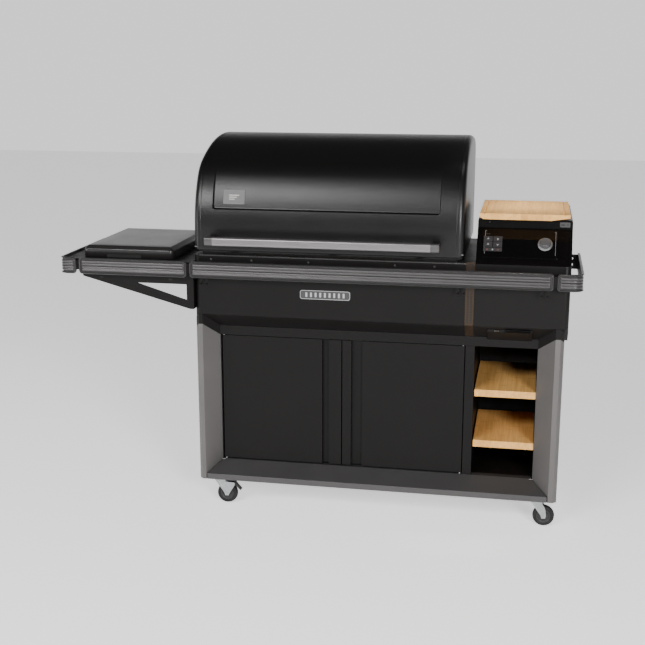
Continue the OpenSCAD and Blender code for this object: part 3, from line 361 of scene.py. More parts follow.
M = {
    "graphite": coated("graphite", (0.125, 0.118, 0.115), 0.40, 900, 0.00007, 0.65, wear=1.5, flake=0.5),
    "rail_graphite": coated("rail_graphite", (0.074, 0.071, 0.071), 0.34, 900, 0.00006, 0.55,
                            wear=1.7, flake=0.6),
    # A darker copy of the rail finish: painted shade for the pressed grooves of the rails
    "rail_groove_shade": coated("rail_groove_shade", (0.016, 0.015, 0.015), 0.45, 900, 0.00006, 0.3, wear=1.2),
    "satin_black": coated("satin_black", (0.0056, 0.0049, 0.0047), 0.42, 1100, 0.00008, specular=0.16,
                          wear=2.6),
    "hood_black": coated("hood_black", (0.0045, 0.004, 0.004), 0.32, 620, 0.00022, specular=0.36,
                         wear=2.6, flake=0.6, uneven=0.015),
    "hopper_black": coated("hopper_black", (0.0028, 0.0024, 0.0024), 0.24, 900, 0.00005, specular=0.1,
                           wear=3.0),
    "bamboo": wood("bamboo", 0.024, (0.90, 0.50, 0.165), (0.60, 0.29, 0.07)),
    "zinc": plated("zinc", (0.40, 0.415, 0.42), 0.38),
    "caster_tyre": moulded("caster_tyre", (0.007, 0.0065, 0.0065), 0.6, dust=0.07, specular=0.3),
    "black_plastic": moulded("black_plastic", (0.02, 0.02, 0.02), 0.48),
    "bronze": coated("bronze", (0.034, 0.019, 0.009), 0.42, 900, 0.00007, 0.5, wear=1.8, flake=0.5),
    "badge": brushed("badge", (0.50, 0.50, 0.50), 0.34, "x"),
    "inner_steel": seasoned("inner_steel", (0.30, 0.29, 0.28), 0.45, 0.8,
                            (0.16, 0.105, 0.06), (0.1, 0.11, 0.16)),
    # A near-black copy of the inner steel, its stains darkened too; the firebox takes it
    "near_black_steel": seasoned("near_black_steel", (0.012, 0.0112, 0.011), 0.5, 0.1,
                            (0.022, 0.014, 0.009), (0.012, 0.013, 0.018)),
    "grate_iron": moulded("grate_iron", (0.03, 0.03, 0.032), 0.3, 260, 0.0003, 0.12, 0.5),
    "handle_silver": brushed("handle_silver", (0.235, 0.22, 0.224), 0.36, "x", 0.8),
    "handle_grey": coated("handle_grey", (0.085, 0.082, 0.082), 0.4, 900, 0.00006, 0.5, wear=1.6),
    "cooktop_glass": glossy("cooktop_glass", (0.012, 0.012, 0.013)),
    "panel_gloss": glossy("panel_gloss", (0.0018, 0.0018, 0.002)),
    "dial_metal": brushed("dial_metal", (0.11, 0.108, 0.11), 0.42, "x", 0.6),
    "screen_tile": moulded("screen_tile", (0.028, 0.027, 0.028), 0.35, 900, 0.00003, specular=0.5),
    "screen_mark": moulded("screen_mark", (0.38, 0.38, 0.4), 0.4, 900, 0.00002, specular=0.5),
    "screen_red": moulded("screen_red", (0.2, 0.075, 0.06), 0.4, 900, 0.00002, specular=0.5),
    "screw_steel": brushed("screw_steel", (0.30, 0.29, 0.28), 0.38, "x"),
    "screw_dark": coated("screw_dark", (0.05, 0.048, 0.047), 0.35, 900, 0.00005, 0.5, wear=2.0),
    "edge_steel": brushed("edge_steel", (0.06, 0.058, 0.058), 0.28, "x", 0.8),
    "label_steel": brushed("label_steel", (0.075, 0.073, 0.073), 0.42, "x", 0.6),
    "badge_dark": coated("badge_dark", (0.05, 0.05, 0.052), 0.4, 900, 0.00006, 0.3),
    "cover_black": coated("cover_black", (0.018, 0.0168, 0.0165), 0.3, 700, 0.0001, specular=0.6,
                          wear=2.4, uneven=0.02),
    # Near black, mostly for the flat dark plates that paint shade into slots, holes and the cover's notch
    "deep_black": moulded("deep_black", (0.004, 0.004, 0.004), 0.6),
    "hub_plastic": moulded("hub_plastic", (0.02, 0.019, 0.019), 0.5, dust=0.1),
    "bezel_grey": brushed("bezel_grey", (0.30, 0.30, 0.31), 0.3, "z", 0.6),
    "dial_rim": brushed("dial_rim", (0.50, 0.50, 0.51), 0.3, "x", 0.9),
    "warm_ring": coated("warm_ring", (0.45, 0.17, 0.035), 0.32, 900, 0.00005, 0.6, wear=1.3),
}


FINISHES = {"hopper_shell": "hopper_black", "hopper_lid": "hopper_black", "bottom_rail": "rail_graphite",
            "firebox": "near_black_steel"}


def paint_cad_nodes():
    """Every CAD node takes the finish of its material slot, or its own one from FINISHES."""
    for part in frame["record"]["subparts"]:
        mesh = NODES[part["node"]].data
        mesh.materials.clear()
        mesh.materials.append(M[FINISHES.get(part["node"], part["material_slot"])])


def soften(node, width, segments=2, angle=35):
    """Rounds the sharp edges of a CAD node without touching its own mesh."""
    item = NODES[node]
    weld = item.modifiers.new("weld", "WELD")
    weld.merge_threshold = 0.00002
    bevel = item.modifiers.new("bevel", "BEVEL")
    bevel.width = width
    bevel.segments = segments
    bevel.limit_method = "ANGLE"
    bevel.angle_limit = math.radians(angle)
    bevel.harden_normals = True


SOFT_EDGES = {
    0.0014: ["front_posts", "bottom_rail", "top_band", "left_door", "right_door", "body_shroud",
             "hopper_shell", "hopper_lid", "bay_divider", "side_shelf", "shelf_arms"],
    0.0007: ["rail_mounts", "caster_plates", "cleanout_slide", "badge_plate", "vent_strip",
             "hinge_brackets", "cart_sides", "cart_base", "label_plate", "cart_back", "cooktop"],
    0.0009: ["fork_front_left", "fork_front_right", "fork_rear_left", "fork_rear_right",
             "brake_front_left", "brake_rear_left", "handle_brackets"],
    0.0025: ["bamboo_shelves"],
}


# ---------------------------------------------------------------- mesh helpers

def new_piece(name, vertices, faces, material, body, smooth=True):
    mesh = bpy.data.meshes.new(name)
    mesh.from_pydata([tuple(v) for v in vertices], [], faces)
    mesh.validate()
    mesh.materials.append(M[material])
    item = bpy.data.objects.new(name, mesh)
    bpy.context.scene.collection.objects.link(item)
    if smooth:
        smooth_by_angle(item)
    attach(item, body)
    return item


def smooth_by_angle(item, degrees=38):
    mesh = item.data
    bm = bmesh.new()
    bm.from_mesh(mesh)
    bmesh.ops.recalc_face_normals(bm, faces=bm.faces)
    for face in bm.faces:
        face.smooth = True
    for edge in bm.edges:
        if len(edge.link_faces) == 2 and edge.calc_face_angle(0) > math.radians(degrees):
            edge.smooth = False
    bm.to_mesh(mesh)
    bm.free()


def spread(start, end, step, dense=()):
    """Positions from start to end, step apart, and closer in the dense (from, to, step) stretches."""
    found = {round(start, 6), round(end, 6)}
    count = max(1, round((end - start) / step))
    found |= {round(start + (end - start) * i / count, 6) for i in range(count + 1)}
    for a, b, fine in dense:
        a, b = max(a, start), min(b, end)
        found = {p for p in found if not a < p < b}
        many = max(1, round((b - a) / fine))
        found |= {round(a + (b - a) * i / many, 6) for i in range(many + 1)}
    ordered = sorted(found)
    kept = [ordered[0]]
    for p in ordered[1:]:
        if p - kept[-1] > 0.00005:
            kept.append(p)
    return kept


def ramp(value, start, end):
    """0 up to start and 1 from end on, with a smooth rise between."""
    t = min(1.0, max(0.0, (value - start) / (end - start)))
    return t * t * (3 - 2 * t)


def grid_faces(columns, rows, offset=0, flip=False):
    faces = []
    for i in range(columns - 1):
        for j in range(rows - 1):
            a = offset + i * rows + j
            quad = (a, a + rows, a + rows + 1, a + 1)
            faces.append(quad[::-1] if flip else quad)
    return faces


def ring_faces(levels, n, closed=False):
    """Faces that join each ring of n points to the next one, and the last to the first if closed."""
    faces = []
    for level in range(levels if closed else levels - 1):
        rise = n if level < levels - 1 else -level * n
        for k in range(n):
            a, b = level * n + k, level * n + (k + 1) % n
            faces.append((a, b, b + rise, a + rise))
    return faces


def lathe(name, profile, centre, axis, material, body, steps=64):
    """A closed turned piece. The profile's points are (along the axis, radius)."""
    axis = Vector(axis).normalized()
    side = axis.orthogonal().normalized()
    other = axis.cross(side)
    vertices = []
    for k in range(steps):
        a = 2 * math.pi * k / steps
        out = side * math.cos(a) + other * math.sin(a)
        vertices += [Vector(centre) + axis * h + out * r for h, r in profile]
    n = len(profile)
    faces = []
    for k in range(steps):
        for j in range(n):
            a, b = k * n, ((k + 1) % steps) * n
            faces.append((a + j, b + j, b + (j + 1) % n, a + (j + 1) % n))
    return new_piece(name, vertices, faces, material, body)


def prism(name, outline, depth, place, material, body, bevel=0.0):
    """An outline of (a, b) points, thick along c. place turns (a, b, c) into a point in the frame."""
    n = len(outline)
    vertices = [place(a, b, 0) for a, b in outline] + [place(a, b, depth) for a, b in outline]
    faces = [tuple(range(n))[::-1], tuple(range(n, 2 * n))]
    faces += [(k, (k + 1) % n, n + (k + 1) % n, n + k) for k in range(n)]
    item = new_piece(name, vertices, faces, material, body)
    if bevel:
        round_edges(item, bevel)
    return item


def round_edges(item, width, segments=3):
    bm = bmesh.new()
    bm.from_mesh(item.data)
    sharp = [e for e in bm.edges if e.calc_face_angle(0) > math.radians(30)]
    bmesh.ops.bevel(bm, geom=sharp, offset=width, segments=segments, profile=0.5, affect="EDGES")
    bm.to_mesh(item.data)
    bm.free()
    smooth_by_angle(item, 50)


# ---------------------------------------------------------------- hood

FRONT_RADIUS = 350 * MM
BROW_RADIUS = 150 * MM
CROWN_RADIUS = 611 * MM
FRONT_END, BROW_END, CROWN_END = 30, 62, 100
HOOD_ROLL = 20 * MM
HOOD_SHEET = 2.2 * MM
HOOD_STRAIGHT = 80 * MM
HOOD_SEAM = 26 * MM
SEAM_DEPTH = 0.7 * MM
RECESS_LEFT, RECESS_RIGHT = 67 * MM, 82 * MM
RECESS_CORNER = 9 * MM
RECESS_WALL = 4.5 * MM
RECESS_PRESS = 9.6 * MM
RECESS_FADE = 175 * MM
LEDGE_HEIGHT = 147 * MM
HINGE_XS = (-330 * MM, 424 * MM)
NOTCH_HALF = 22 * MM
NOTCH_HEIGHT = 60 * MM


def bend(start, radius, first, last, step=7 * MM):
    """Arc points (y, z, heading). A heading of 0 is straight up and 90 is straight back."""
    count = max(2, math.ceil(radius * math.radians(last - first) / step))
    f = math.radians(first)
    points = []
    for i in range(1, count + 1):
        a = math.radians(first + (last - first) * i / count)
        points.append((start[0] + radius * (math.cos(f) - math.cos(a)),
                       start[1] + radius * (math.sin(a) - math.sin(f)), a))
    return points


def hood_profile():
    """The hood's side outline from its front edge over the top to its back edge."""
    lo = low("hood_shell")
    front, back, bottom = lo.y, high("hood_liner").y + 4 * MM, lo.z
    ledge = bottom + LEDGE_HEIGHT
    points = [(front, z, 0.0) for z in spread(bottom, bottom + HOOD_STRAIGHT, 12 * MM)]
    points += bend(points[-1], FRONT_RADIUS, 0, FRONT_END, 1.5 * MM)
    points += bend(points[-1], BROW_RADIUS, FRONT_END, BROW_END, 4 * MM)
    points += bend(points[-1], CROWN_RADIUS, BROW_END, CROWN_END)
    tail = (back - points[-1][0]) / (1 + math.cos(math.radians(CROWN_END)))
    points += bend(points[-1], tail, CROWN_END, 180)
    notch = bottom + NOTCH_HEIGHT
    edge = bottom + 12 * MM
    points += [(back, z, math.pi) for z in spread(notch, points[-1][1], 12 * MM)[::-1][1:]]
    points += [(back, z, math.pi) for z in spread(edge, notch, 12 * MM)[::-1][1:]]
    return points, ledge


def recess_weight(x, z, left, right, ledge):
    """0 outside the pressed recess and 1 inside it, with a round lower corner at each side."""
    dx = max(left + RECESS_CORNER - x, x - (right - RECESS_CORNER), 0)
    dz = max(ledge + RECESS_CORNER - z, 0)
    outside = math.hypot(dx, dz) - RECESS_CORNER
    return ramp(-outside, 0, RECESS_WALL)


def recess_depth(height):
    """The recess is deepest along its lower ledge and fades out upwards."""
    return RECESS_PRESS * (1 - ramp(height, 0, RECESS_FADE))


def hood_face(z):
    """Where the hood's front stands at a height between the straight part and the brow."""
    lo = low("hood_shell")
    heading = math.asin(min(1, max(0, (z - lo.z - HOOD_STRAIGHT) / FRONT_RADIUS)))
    return lo.y + FRONT_RADIUS * (1 - math.cos(heading))


def make_hood():
    """The rolled hood: round side edges, a seam near each, the pressed recess and hinge notches."""
    lo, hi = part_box("hood_shell")
    left, right = lo.x + RECESS_LEFT, hi.x - RECESS_RIGHT
    profile, ledge = hood_profile()
    dense = [(x - NOTCH_HALF, x + NOTCH_HALF, 4 * MM) for x in HINGE_XS]
    dense += [(lo.x, lo.x + HOOD_ROLL, 1.7 * MM), (hi.x - HOOD_ROLL, hi.x, 1.7 * MM),
             (lo.x + HOOD_SEAM - 2 * MM, lo.x + HOOD_SEAM + 2 * MM, 0.5 * MM),
             (hi.x - HOOD_SEAM - 2 * MM, hi.x - HOOD_SEAM + 2 * MM, 0.5 * MM),
             (left - 3 * MM, left + 12 * MM, 0.8 * MM), (right - 12 * MM, right + 3 * MM, 0.8 * MM)]
    xs = spread(lo.x, hi.x, 15 * MM, dense)
    vertices = []
    for x in xs:
        depth = max(0.0, min(x - lo.x, hi.x - x))
        inset = 0.0
        if depth < HOOD_ROLL:
            inset = HOOD_ROLL - math.sqrt(HOOD_ROLL ** 2 - (HOOD_ROLL - depth) ** 2)
        seam = abs(depth - HOOD_SEAM)
        inset += SEAM_DEPTH * ramp(-seam, -1.2 * MM, -0.2 * MM)
        for y, z, a in profile:
            y_in = y + inset * math.cos(a)
            z_in = z - inset * math.sin(a)
            if a < 1:
                y_in += recess_weight(x, z, left, right, ledge) * recess_depth(z - ledge)
            vertices.append((x, y_in, z_in))
    rows = len(profile)
    faces = []
    for i in range(len(xs) - 1):
        middle = (xs[i] + xs[i + 1]) / 2
        by_hinge = any(abs(middle - x) < NOTCH_HALF for x in HINGE_XS)
        for j in range(rows - 1):
            z = (profile[j][1] + profile[j + 1][1]) / 2
            if by_hinge and profile[j][2] > 3 and z < lo.z + NOTCH_HEIGHT:
                continue
            a = i * rows + j
            faces.append((a, a + 1, a + rows + 1, a + rows))
    faces.append(tuple(range(rows)))
    last = (len(xs) - 1) * rows
    faces.append(tuple(range(last, last + rows))[::-1])
    hood = new_piece("hood", vertices, faces, "hood_black", "hood")
    smooth_by_angle(hood, 62)
    shell = hood.modifiers.new("sheet", "SOLIDIFY")
    shell.thickness = HOOD_SHEET
    shell.offset = -1
    shell.use_even_offset = False
    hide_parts("hood_shell")
    make_hood_knuckles()


def make_hood_knuckles():
    """The hood's half of each hinge, with a round eye over the pin."""
    axis_y = high("body_shroud").y
    axis_z = low("hood_shell").z + 30 * MM
    back = high("hood_liner").y + 3 * MM
    for number, x in enumerate(HINGE_XS):
        outline = [(axis_y - 6 * MM, axis_z + 4 * MM)]
        for k in range(13):
            a = math.radians(150 + 240 * k / 12)
            outline.append((axis_y + 8 * MM * math.cos(a), axis_z + 8 * MM * math.sin(a)))
        outline += [(back - 2 * MM, axis_z + 20 * MM), (back - 2 * MM, axis_z + 62 * MM),
                    (back - 12 * MM, axis_z + 62 * MM)]
        start = x - 9.5 * MM
        prism(f"hood_knuckle_{number}", outline, 19 * MM, lambda a, b, c: (start + c, a, b),
              "hood_black", "hood", 0.8 * MM)


def make_label():
    """The blank plate at the lower left of the hood's recess."""
    lo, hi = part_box("label_plate")
    ledge = low("hood_shell").z + LEDGE_HEIGHT
    foot = Vector((lo.x, hood_face(lo.z) + recess_depth(lo.z - ledge), lo.z))
    head = Vector((lo.x, hood_face(hi.z) + recess_depth(hi.z - ledge), hi.z))
    up = (head - foot).normalized()
    out = Vector((0, -up.z, up.y))
    width, tall = hi.x - lo.x, (head - foot).length
    outline = rounded_outline(width, tall, 3 * MM)
    origin = foot

    def place(a, b, c):
        return origin + Vector((a, 0, 0)) + up * b + out * (c + 0.2 * MM)

    plate = prism("hood_label", outline, 1.8 * MM, place, "label_steel", "hood", 0.5 * MM)
    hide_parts("label_plate")
    for k in range(3):
        bar = rounded_outline(width * (0.46 - 0.1 * k), 1.6 * MM, 0.7 * MM)
        shift = Vector((width * 0.27, 0, 0)) + up * (tall * (0.62 - 0.14 * k)) + out * 1.5 * MM
        prism(f"label_line_{k}", bar, 0.4 * MM, lambda a, b, c: place(a, b, c) + shift,
              "screw_steel", "hood")


def rounded_outline(width, tall, radius, steps=5):
    """A rounded rectangle with its lower left corner at (0, 0)."""
    points = []
    corners = ((width - radius, radius, -90), (width - radius, tall - radius, 0),
               (radius, tall - radius, 90), (radius, radius, 180))
    for cx, cy, first in corners:
        for k in range(steps + 1):
            a = math.radians(first + 90 * k / steps)
            points.append((cx + radius * math.cos(a), cy + radius * math.sin(a)))
    return points


# ---------------------------------------------------------------- handle

def make_handle():
    """The bar keeps its CAD tube. Each end has a cast cap with a warm ring on its outer face."""
    lo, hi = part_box("handle_brackets")
    face = low("hood_shell").y
    bar_lo, bar_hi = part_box("handle_bar")
    for side, name in ((0, "left"), (1, "right")):
        x = lo.x if side == 0 else bar_hi.x
        width = bar_lo.x - lo.x
        depth = bar_hi.y - lo.y
        tall = hi.z - lo.z
        outline = rounded_outline(depth, tall - 1 * MM, 7 * MM)
        prism(f"handle_cap_{name}", outline, width,
              lambda a, b, c: (x + c, lo.y + a, lo.z + 0.5 * MM + b), "handle_grey", "hood", 1.2 * MM)
        arm = rounded_outline(width - 8 * MM, tall - 8 * MM, 3 * MM)
        prism(f"handle_arm_{name}", arm, face - bar_hi.y + 2 * MM,
              lambda a, b, c: (x + 4 * MM + a, bar_hi.y - 1 * MM + c, lo.z + 4 * MM + b),
              "satin_black", "hood")
        foot = rounded_outline(width - 2 * MM, tall, 3 * MM)
        prism(f"handle_foot_{name}", foot, 3 * MM,
              lambda a, b, c: (x + 1 * MM + a, face - 3 * MM + c, lo.z + b), "satin_black", "hood",
              0.6 * MM)
        end = x - 0.2 * MM if side == 0 else x + width + 0.2 * MM
        along = 1 if side else -1
        middle = (end, lo.y + depth / 2, (lo.z + hi.z) / 2)
        ring = [(-1.5 * MM, 5.0 * MM), (0.0, 5.0 * MM), (0.0, 8.6 * MM), (-1.5 * MM, 8.6 * MM)]
        lathe(f"handle_ring_{name}", ring, middle, (along, 0, 0), "warm_ring", "hood", 32)
        plug = [(-1.5 * MM, 0.0005), (-0.3 * MM, 0.0005), (-0.3 * MM, 4.6 * MM), (-1.5 * MM, 4.6 * MM)]
        lathe(f"handle_plug_{name}", plug, middle, (along, 0, 0), "black_plastic", "hood", 32)
    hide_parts("handle_brackets")


# ---------------------------------------------------------------- rails

RAIL_LIP = 5.5 * MM
RAIL_GROOVE = 9.5 * MM
RAIL_CORNER = 12 * MM
RAIL_DEPTH = 5 * MM
RAIL_RIBS = 4
RIB_HEIGHT = 3.6 * MM
RAIL_THICK = 9 * MM
CORNER_TURN = 34 * MM


def rail_relief(along, up, length, tall):
    """How far the pressed face stands behind the plate's front: a lip, a groove and four ribs."""
    side = min(along, length - along)
    edge = min(up, tall - up)
    cx, cy = max(RAIL_CORNER - side, 0), max(RAIL_CORNER - edge, 0)
    inside = RAIL_CORNER - math.hypot(cx, cy) if cx > 0 and cy > 0 else min(side, edge)
    if inside < RAIL_LIP:
        return RAIL_DEPTH * (1 - math.sin(math.pi * min(1, max(0, inside / RAIL_LIP)) ** 0.8))
    field = (up - RAIL_GROOVE) / (tall - 2 * RAIL_GROOVE)
    if inside < RAIL_GROOVE or not 0 < field < 1:
        return RAIL_DEPTH
    rib = math.sin(math.pi * (field * RAIL_RIBS % 1)) ** 0.6
    return RAIL_DEPTH - RIB_HEIGHT * rib * ramp(side, RAIL_GROOVE, RAIL_GROOVE + 4 * MM)


def ribbed_rail(name, length, place, bends=()):
    """A pressed plate along a path. place turns (along, up, depth) into a point."""
    lo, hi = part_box("rail_main_plate")
    tall = hi.z - lo.z
    ends = 17 * MM
    stretches = [(0, ends, 1.1 * MM), (length - ends, length, 1.1 * MM)] + list(bends)
    us = spread(0, length, 60 * MM, stretches)
    vs = spread(0, tall, 1.15 * MM)
    front, back, deep = [], [], []
    for u in us:
        for v in vs:
            cx = max(RAIL_CORNER - min(u, length - u), 0)
            cy = max(RAIL_CORNER - min(v, tall - v), 0)
            reach = math.hypot(cx, cy)
            pull = RAIL_CORNER / reach if cx > 0 and cy > 0 and reach > RAIL_CORNER else 1
            u_in = u if pull == 1 else (RAIL_CORNER - cx * pull if u < length / 2
                                        else length - RAIL_CORNER + cx * pull)
            v_in = v if pull == 1 else (RAIL_CORNER - cy * pull if v < tall / 2
                                        else tall - RAIL_CORNER + cy * pull)
            relief = rail_relief(u_in, v_in, length, tall)
            # deep marks the groove and the valleys between the ribs, where shade is painted
            deep.append(relief > 0.8 * RAIL_DEPTH and min(u, length - u, v, tall - v) > RAIL_LIP / 2)
            front.append(place(u_in, v_in, relief))
            back.append(place(u_in, v_in, RAIL_THICK))
    columns, rows = len(us), len(vs)
    faces = grid_faces(columns, rows) + grid_faces(columns, rows, len(front), flip=True)
    rim = [i * rows for i in range(columns)]
    rim += [(columns - 1) * rows + j for j in range(1, rows)]
    rim += [i * rows + rows - 1 for i in range(columns - 2, -1, -1)]
    rim += [j for j in range(rows - 2, 0, -1)]
    for k, a in enumerate(rim):
        b = rim[(k + 1) % len(rim)]
        faces.append((a, b, b + len(front), a + len(front)))
    plate = new_piece(name, front + back, faces, "rail_graphite", "cart")
    # Faces deep in the groove and between the ribs take the darker copy of the finish: painted shade
    plate.data.materials.append(M["rail_groove_shade"])
    for polygon in plate.data.polygons:
        if all(k < len(front) and deep[k] for k in polygon.vertices):
            polygon.material_index = 1
    return plate


def make_rails():
    """The two straight plates, and the corner plates that wrap round the sides."""
    for node in ("rail_main_plate", "rail_left_plate"):
        lo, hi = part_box(node)
        plate = ribbed_rail(node.replace("_plate", ""), hi.x - lo.x,
                            lambda u, v, d: (lo.x + u, lo.y + d, lo.z + v))
        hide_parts(node)
    lo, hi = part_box("corner_rails")
    turn = CORNER_TURN
    arc = turn * math.pi / 2
    gap = low("rail_main_plate").x - high("rail_left_plate").x
    for side, name in ((-1, "left"), (1, "right")):
        outer = lo.x if side < 0 else hi.x
        neighbour = low("rail_left_plate").x if side < 0 else high("rail_main_plate").x
        straight = abs(outer - neighbour) - gap - turn
        length = straight + arc + (hi.y - lo.y - turn)

        def place(u, v, d):
            if u < straight:
                x, y = turn + straight - u, d
            elif u < straight + arc:
                a = (u - straight) / turn
                x = turn - (turn - d) * math.sin(a)
                y = turn - (turn - d) * math.cos(a)
            else:
                x, y = d, turn + u - straight - arc
            return (outer - side * x, lo.y + y, lo.z + v)

        corner = ribbed_rail(f"rail_corner_{name}", length, place,
                             [(straight, straight + arc, 2.2 * MM)])
        if side < 0:
            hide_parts("corner_rails")


# ---------------------------------------------------------------- casters

def make_wheel(node):
    """A tyre with a round shoulder and a hub with a raised ring."""
    lo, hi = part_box(node)
    centre = (lo + hi) / 2
    radius = (hi.z - lo.z) / 2
    half = (hi.y - lo.y) / 2
    width = 12 * MM
    tyre = [(-width + 1 * MM, 24.5 * MM), (-width, 27 * MM), (-width, radius - 6 * MM)]
    for k in range(9):
        a = math.pi * k / 8
        tyre.append((-(width - 5 * MM) * math.cos(a) - 5 * MM * math.cos(a) * abs(math.cos(a)),
                     radius - 5.5 * MM + 5.5 * MM * math.sin(a) ** 0.7))
    tyre += [(width, radius - 6 * MM), (width, 27 * MM), (width - 1 * MM, 24.5 * MM)]
    wheel = lathe(node.replace("wheel", "tyre"), tyre, centre, (0, 1, 0), "caster_tyre", node, 72)
    face = [(10.6 * MM, 24.8 * MM), (11 * MM, 23 * MM), (10 * MM, 20 * MM), (7.5 * MM, 18 * MM),
            (7.5 * MM, 12 * MM), (8 * MM, 9.6 * MM), (half - 1.5 * MM, 9.2 * MM), (half, 8 * MM),
            (half, 4.1 * MM)]
    hub = [(-h, r) for h, r in face] + face[::-1]
    lathe(node.replace("wheel", "hub"), hub, centre, (0, 1, 0), "hub_plastic", node, 72)
    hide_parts(node)


def make_fork_details(node, body):
    """A domed rivet on each side of the axle, and pressed ridges down the legs."""
    fork_top = high(node).z
    wheel_lo, wheel_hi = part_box(node.replace("fork", "wheel"))
    axle = (wheel_lo + wheel_hi) / 2
    leg = 17.25 * MM
    for side, label in ((-1, "front"), (1, "back")):
        dome = [(0, 0.0003), (0, 6.5 * MM), (1 * MM, 6.2 * MM), (1.7 * MM, 4 * MM),
                (1.9 * MM, 0.0003)]
        place = (axle.x, axle.y + side * (leg + 0.1 * MM), axle.z)
        lathe(f"{node}_rivet_{label}", dome, place, (0, side, 0), "zinc", body, 28)
        for k, shift in enumerate((-9 * MM, 1 * MM, 11 * MM)):
            top = (axle.x - 26 * MM + 1.3 * shift, fork_top - 4 * MM)
            foot = (axle.x - 3 * MM + 0.28 * shift, axle.z + 16 * MM)
            ridge(f"{node}_ridge_{label}_{k}", top, foot, axle.y + side * leg, side, body)


def ridge(name, top, foot, y, side, body):
    """A half-round rib between two points (x, z) of a fork leg."""
    run = Vector((foot[0] - top[0], 0, foot[1] - top[1]))
    across = Vector((-run.z, 0, run.x)).normalized()
    vertices, faces = [], []
    stations = 7
    around = 6
    for s in range(stations):
        t = s / (stations - 1)
        swell = math.sin(math.pi * min(1, max(0.0, t))) ** 0.35 if 0 < t < 1 else 0.05
        centre = Vector((top[0], y, top[1])) + run * t
        for k in range(around + 1):
            a = math.pi * k / around
            vertices.append(centre + across * (1.9 * MM * math.cos(a) * swell)
                            + Vector((0, side, 0)) * (1.1 * MM * math.sin(a) * swell - 0.2 * MM))
    for s in range(stations - 1):
        for k in range(around):
            a = s * (around + 1) + k
            faces.append((a, a + 1, a + around + 2, a + around + 1))
        a = s * (around + 1)
        faces.append((a + around, a, a + around + 1, a + 2 * around + 1))
    faces.append(tuple(range(around + 1)))
    faces.append(tuple(range(len(vertices) - around - 1, len(vertices)))[::-1])
    new_piece(name, vertices, faces, "zinc", body)


def make_casters():
    """The four wheels and the details of their forks."""
    for i in ("front", "rear"):
        for j in ("left", "right"):
            make_wheel(f"wheel_{i}_{j}")
            make_fork_details(f"fork_{i}_{j}", f"fork_{i}_{j}")


# ---------------------------------------------------------------- side shelf

def make_cover():
    """The cooktop's cover: a deep-drawn lid with a sloping shoulder, and a dark plate as painted shade for
    its finger notch.
    """
    lo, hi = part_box("cooktop_cover")
    radius = 16 * MM
    shoulder = 14 * MM
    drop = 10 * MM
    width, deep = hi.x - lo.x, hi.y - lo.y

    def ring(inset, z):
        outline = rounded_outline(width - 2 * inset, deep - 2 * inset, max(2 * MM, radius - inset), 6)
        return [(lo.x + inset + a, lo.y + inset + b, z) for a, b in outline]

    levels = [(0, lo.z), (0, hi.z - drop - 3 * MM), (0.6 * MM, hi.z - drop - 1 * MM),
              (1.6 * MM, hi.z - drop), (shoulder - 1 * MM, hi.z - 0.8 * MM),
              (shoulder + 0.5 * MM, hi.z - 0.2 * MM),
              (shoulder + 2 * MM, hi.z), (shoulder + 40 * MM, hi.z)]
    vertices = []
    for inset, z in levels:
        vertices += ring(inset, z)
    n = len(ring(0, 0))
    faces = ring_faces(len(levels), n)
    faces.append(tuple(range((len(levels) - 1) * n, len(levels) * n)))
    cover = new_piece("cover", vertices, faces, "cover_black", "cooktop_cover")
    smooth_by_angle(cover, 30)
    shell = cover.modifiers.new("sheet", "SOLIDIFY")
    shell.thickness = 2 * MM
    shell.offset = -1
    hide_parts("cooktop_cover")
    # The finger notch is a flat dark plate on the cover's front: painted shade
    notch = rounded_outline(127 * MM, 11 * MM, 4 * MM)
    prism("cover_notch_shade", notch, 1.2 * MM,
          lambda a, b, c: (lo.x + 88 * MM + a, lo.y - 0.25 * MM + c, lo.z + 1 * MM + b),
          "deep_black", "cooktop_cover")


# ---------------------------------------------------------------- hopper and console

CONSOLE_TILT = math.atan2(87, 111)
TILE_BASE = 2.9 * MM
TILE_THICK = 0.35 * MM
MARK_BASE = 3.2 * MM
MARK_THICK = 0.2 * MM


def console_point(along, up, out):
    """A point on the console: along it from x = 0, up its slope and out of it."""
    fold = Vector((0, low("hopper_shell").y, high("body_shroud").z + 1 * MM))
    slope = Vector((0, math.sin(CONSOLE_TILT), math.cos(CONSOLE_TILT)))
    normal = Vector((0, -math.cos(CONSOLE_TILT), math.sin(CONSOLE_TILT)))
    return fold + Vector((along, 0, 0)) + slope * up + normal * out


def console_prism(name, x, up, width, tall, radius, base, thick, material, body="cart", bevel=0.0):
    """A rounded plate on the console, from base out of its face."""
    outline = rounded_outline(width, tall, radius)
    return prism(name, outline, thick,
                 lambda a, b, c: console_point(x + a, up + b, base + c), material, body, bevel)


def make_console():
    """The gloss panel on its backing, with a thin bright bezel at the sides."""
    panel_x, panel_up = low("control_panel").x, 25 * MM
    width, tall = high("control_panel").x - panel_x, 109 * MM
    glass = console_prism("console_glass", panel_x, panel_up, width, tall, 5 * MM, 0.3 * MM, 2.7 * MM,
                          "panel_gloss", bevel=0.8 * MM)
    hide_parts("control_panel")
    console_prism("console_backing", panel_x + 5 * MM, panel_up + 5 * MM, width - 10 * MM,
                  tall - 10 * MM, 3 * MM, -16 * MM, 16.5 * MM, "black_plastic")
    edge = 7 * MM
    for side, x in (("left", panel_x + edge), ("right", panel_x + width - edge - 1.4 * MM)):
        console_prism(f"bezel_{side}", x, panel_up + 13 * MM, 1.4 * MM, tall - 20 * MM, 0.6 * MM,
                      2.9 * MM, 0.25 * MM, "bezel_grey")
        x_end = x if side == "left" else x + 1.4 * MM - 5 * MM
        console_prism(f"bezel_top_{side}", x_end, panel_up + tall - 7.8 * MM, 5 * MM, 1.2 * MM, 0.5 * MM,
                      2.9 * MM, 0.25 * MM, "bezel_grey")
    make_display()
    make_dial()


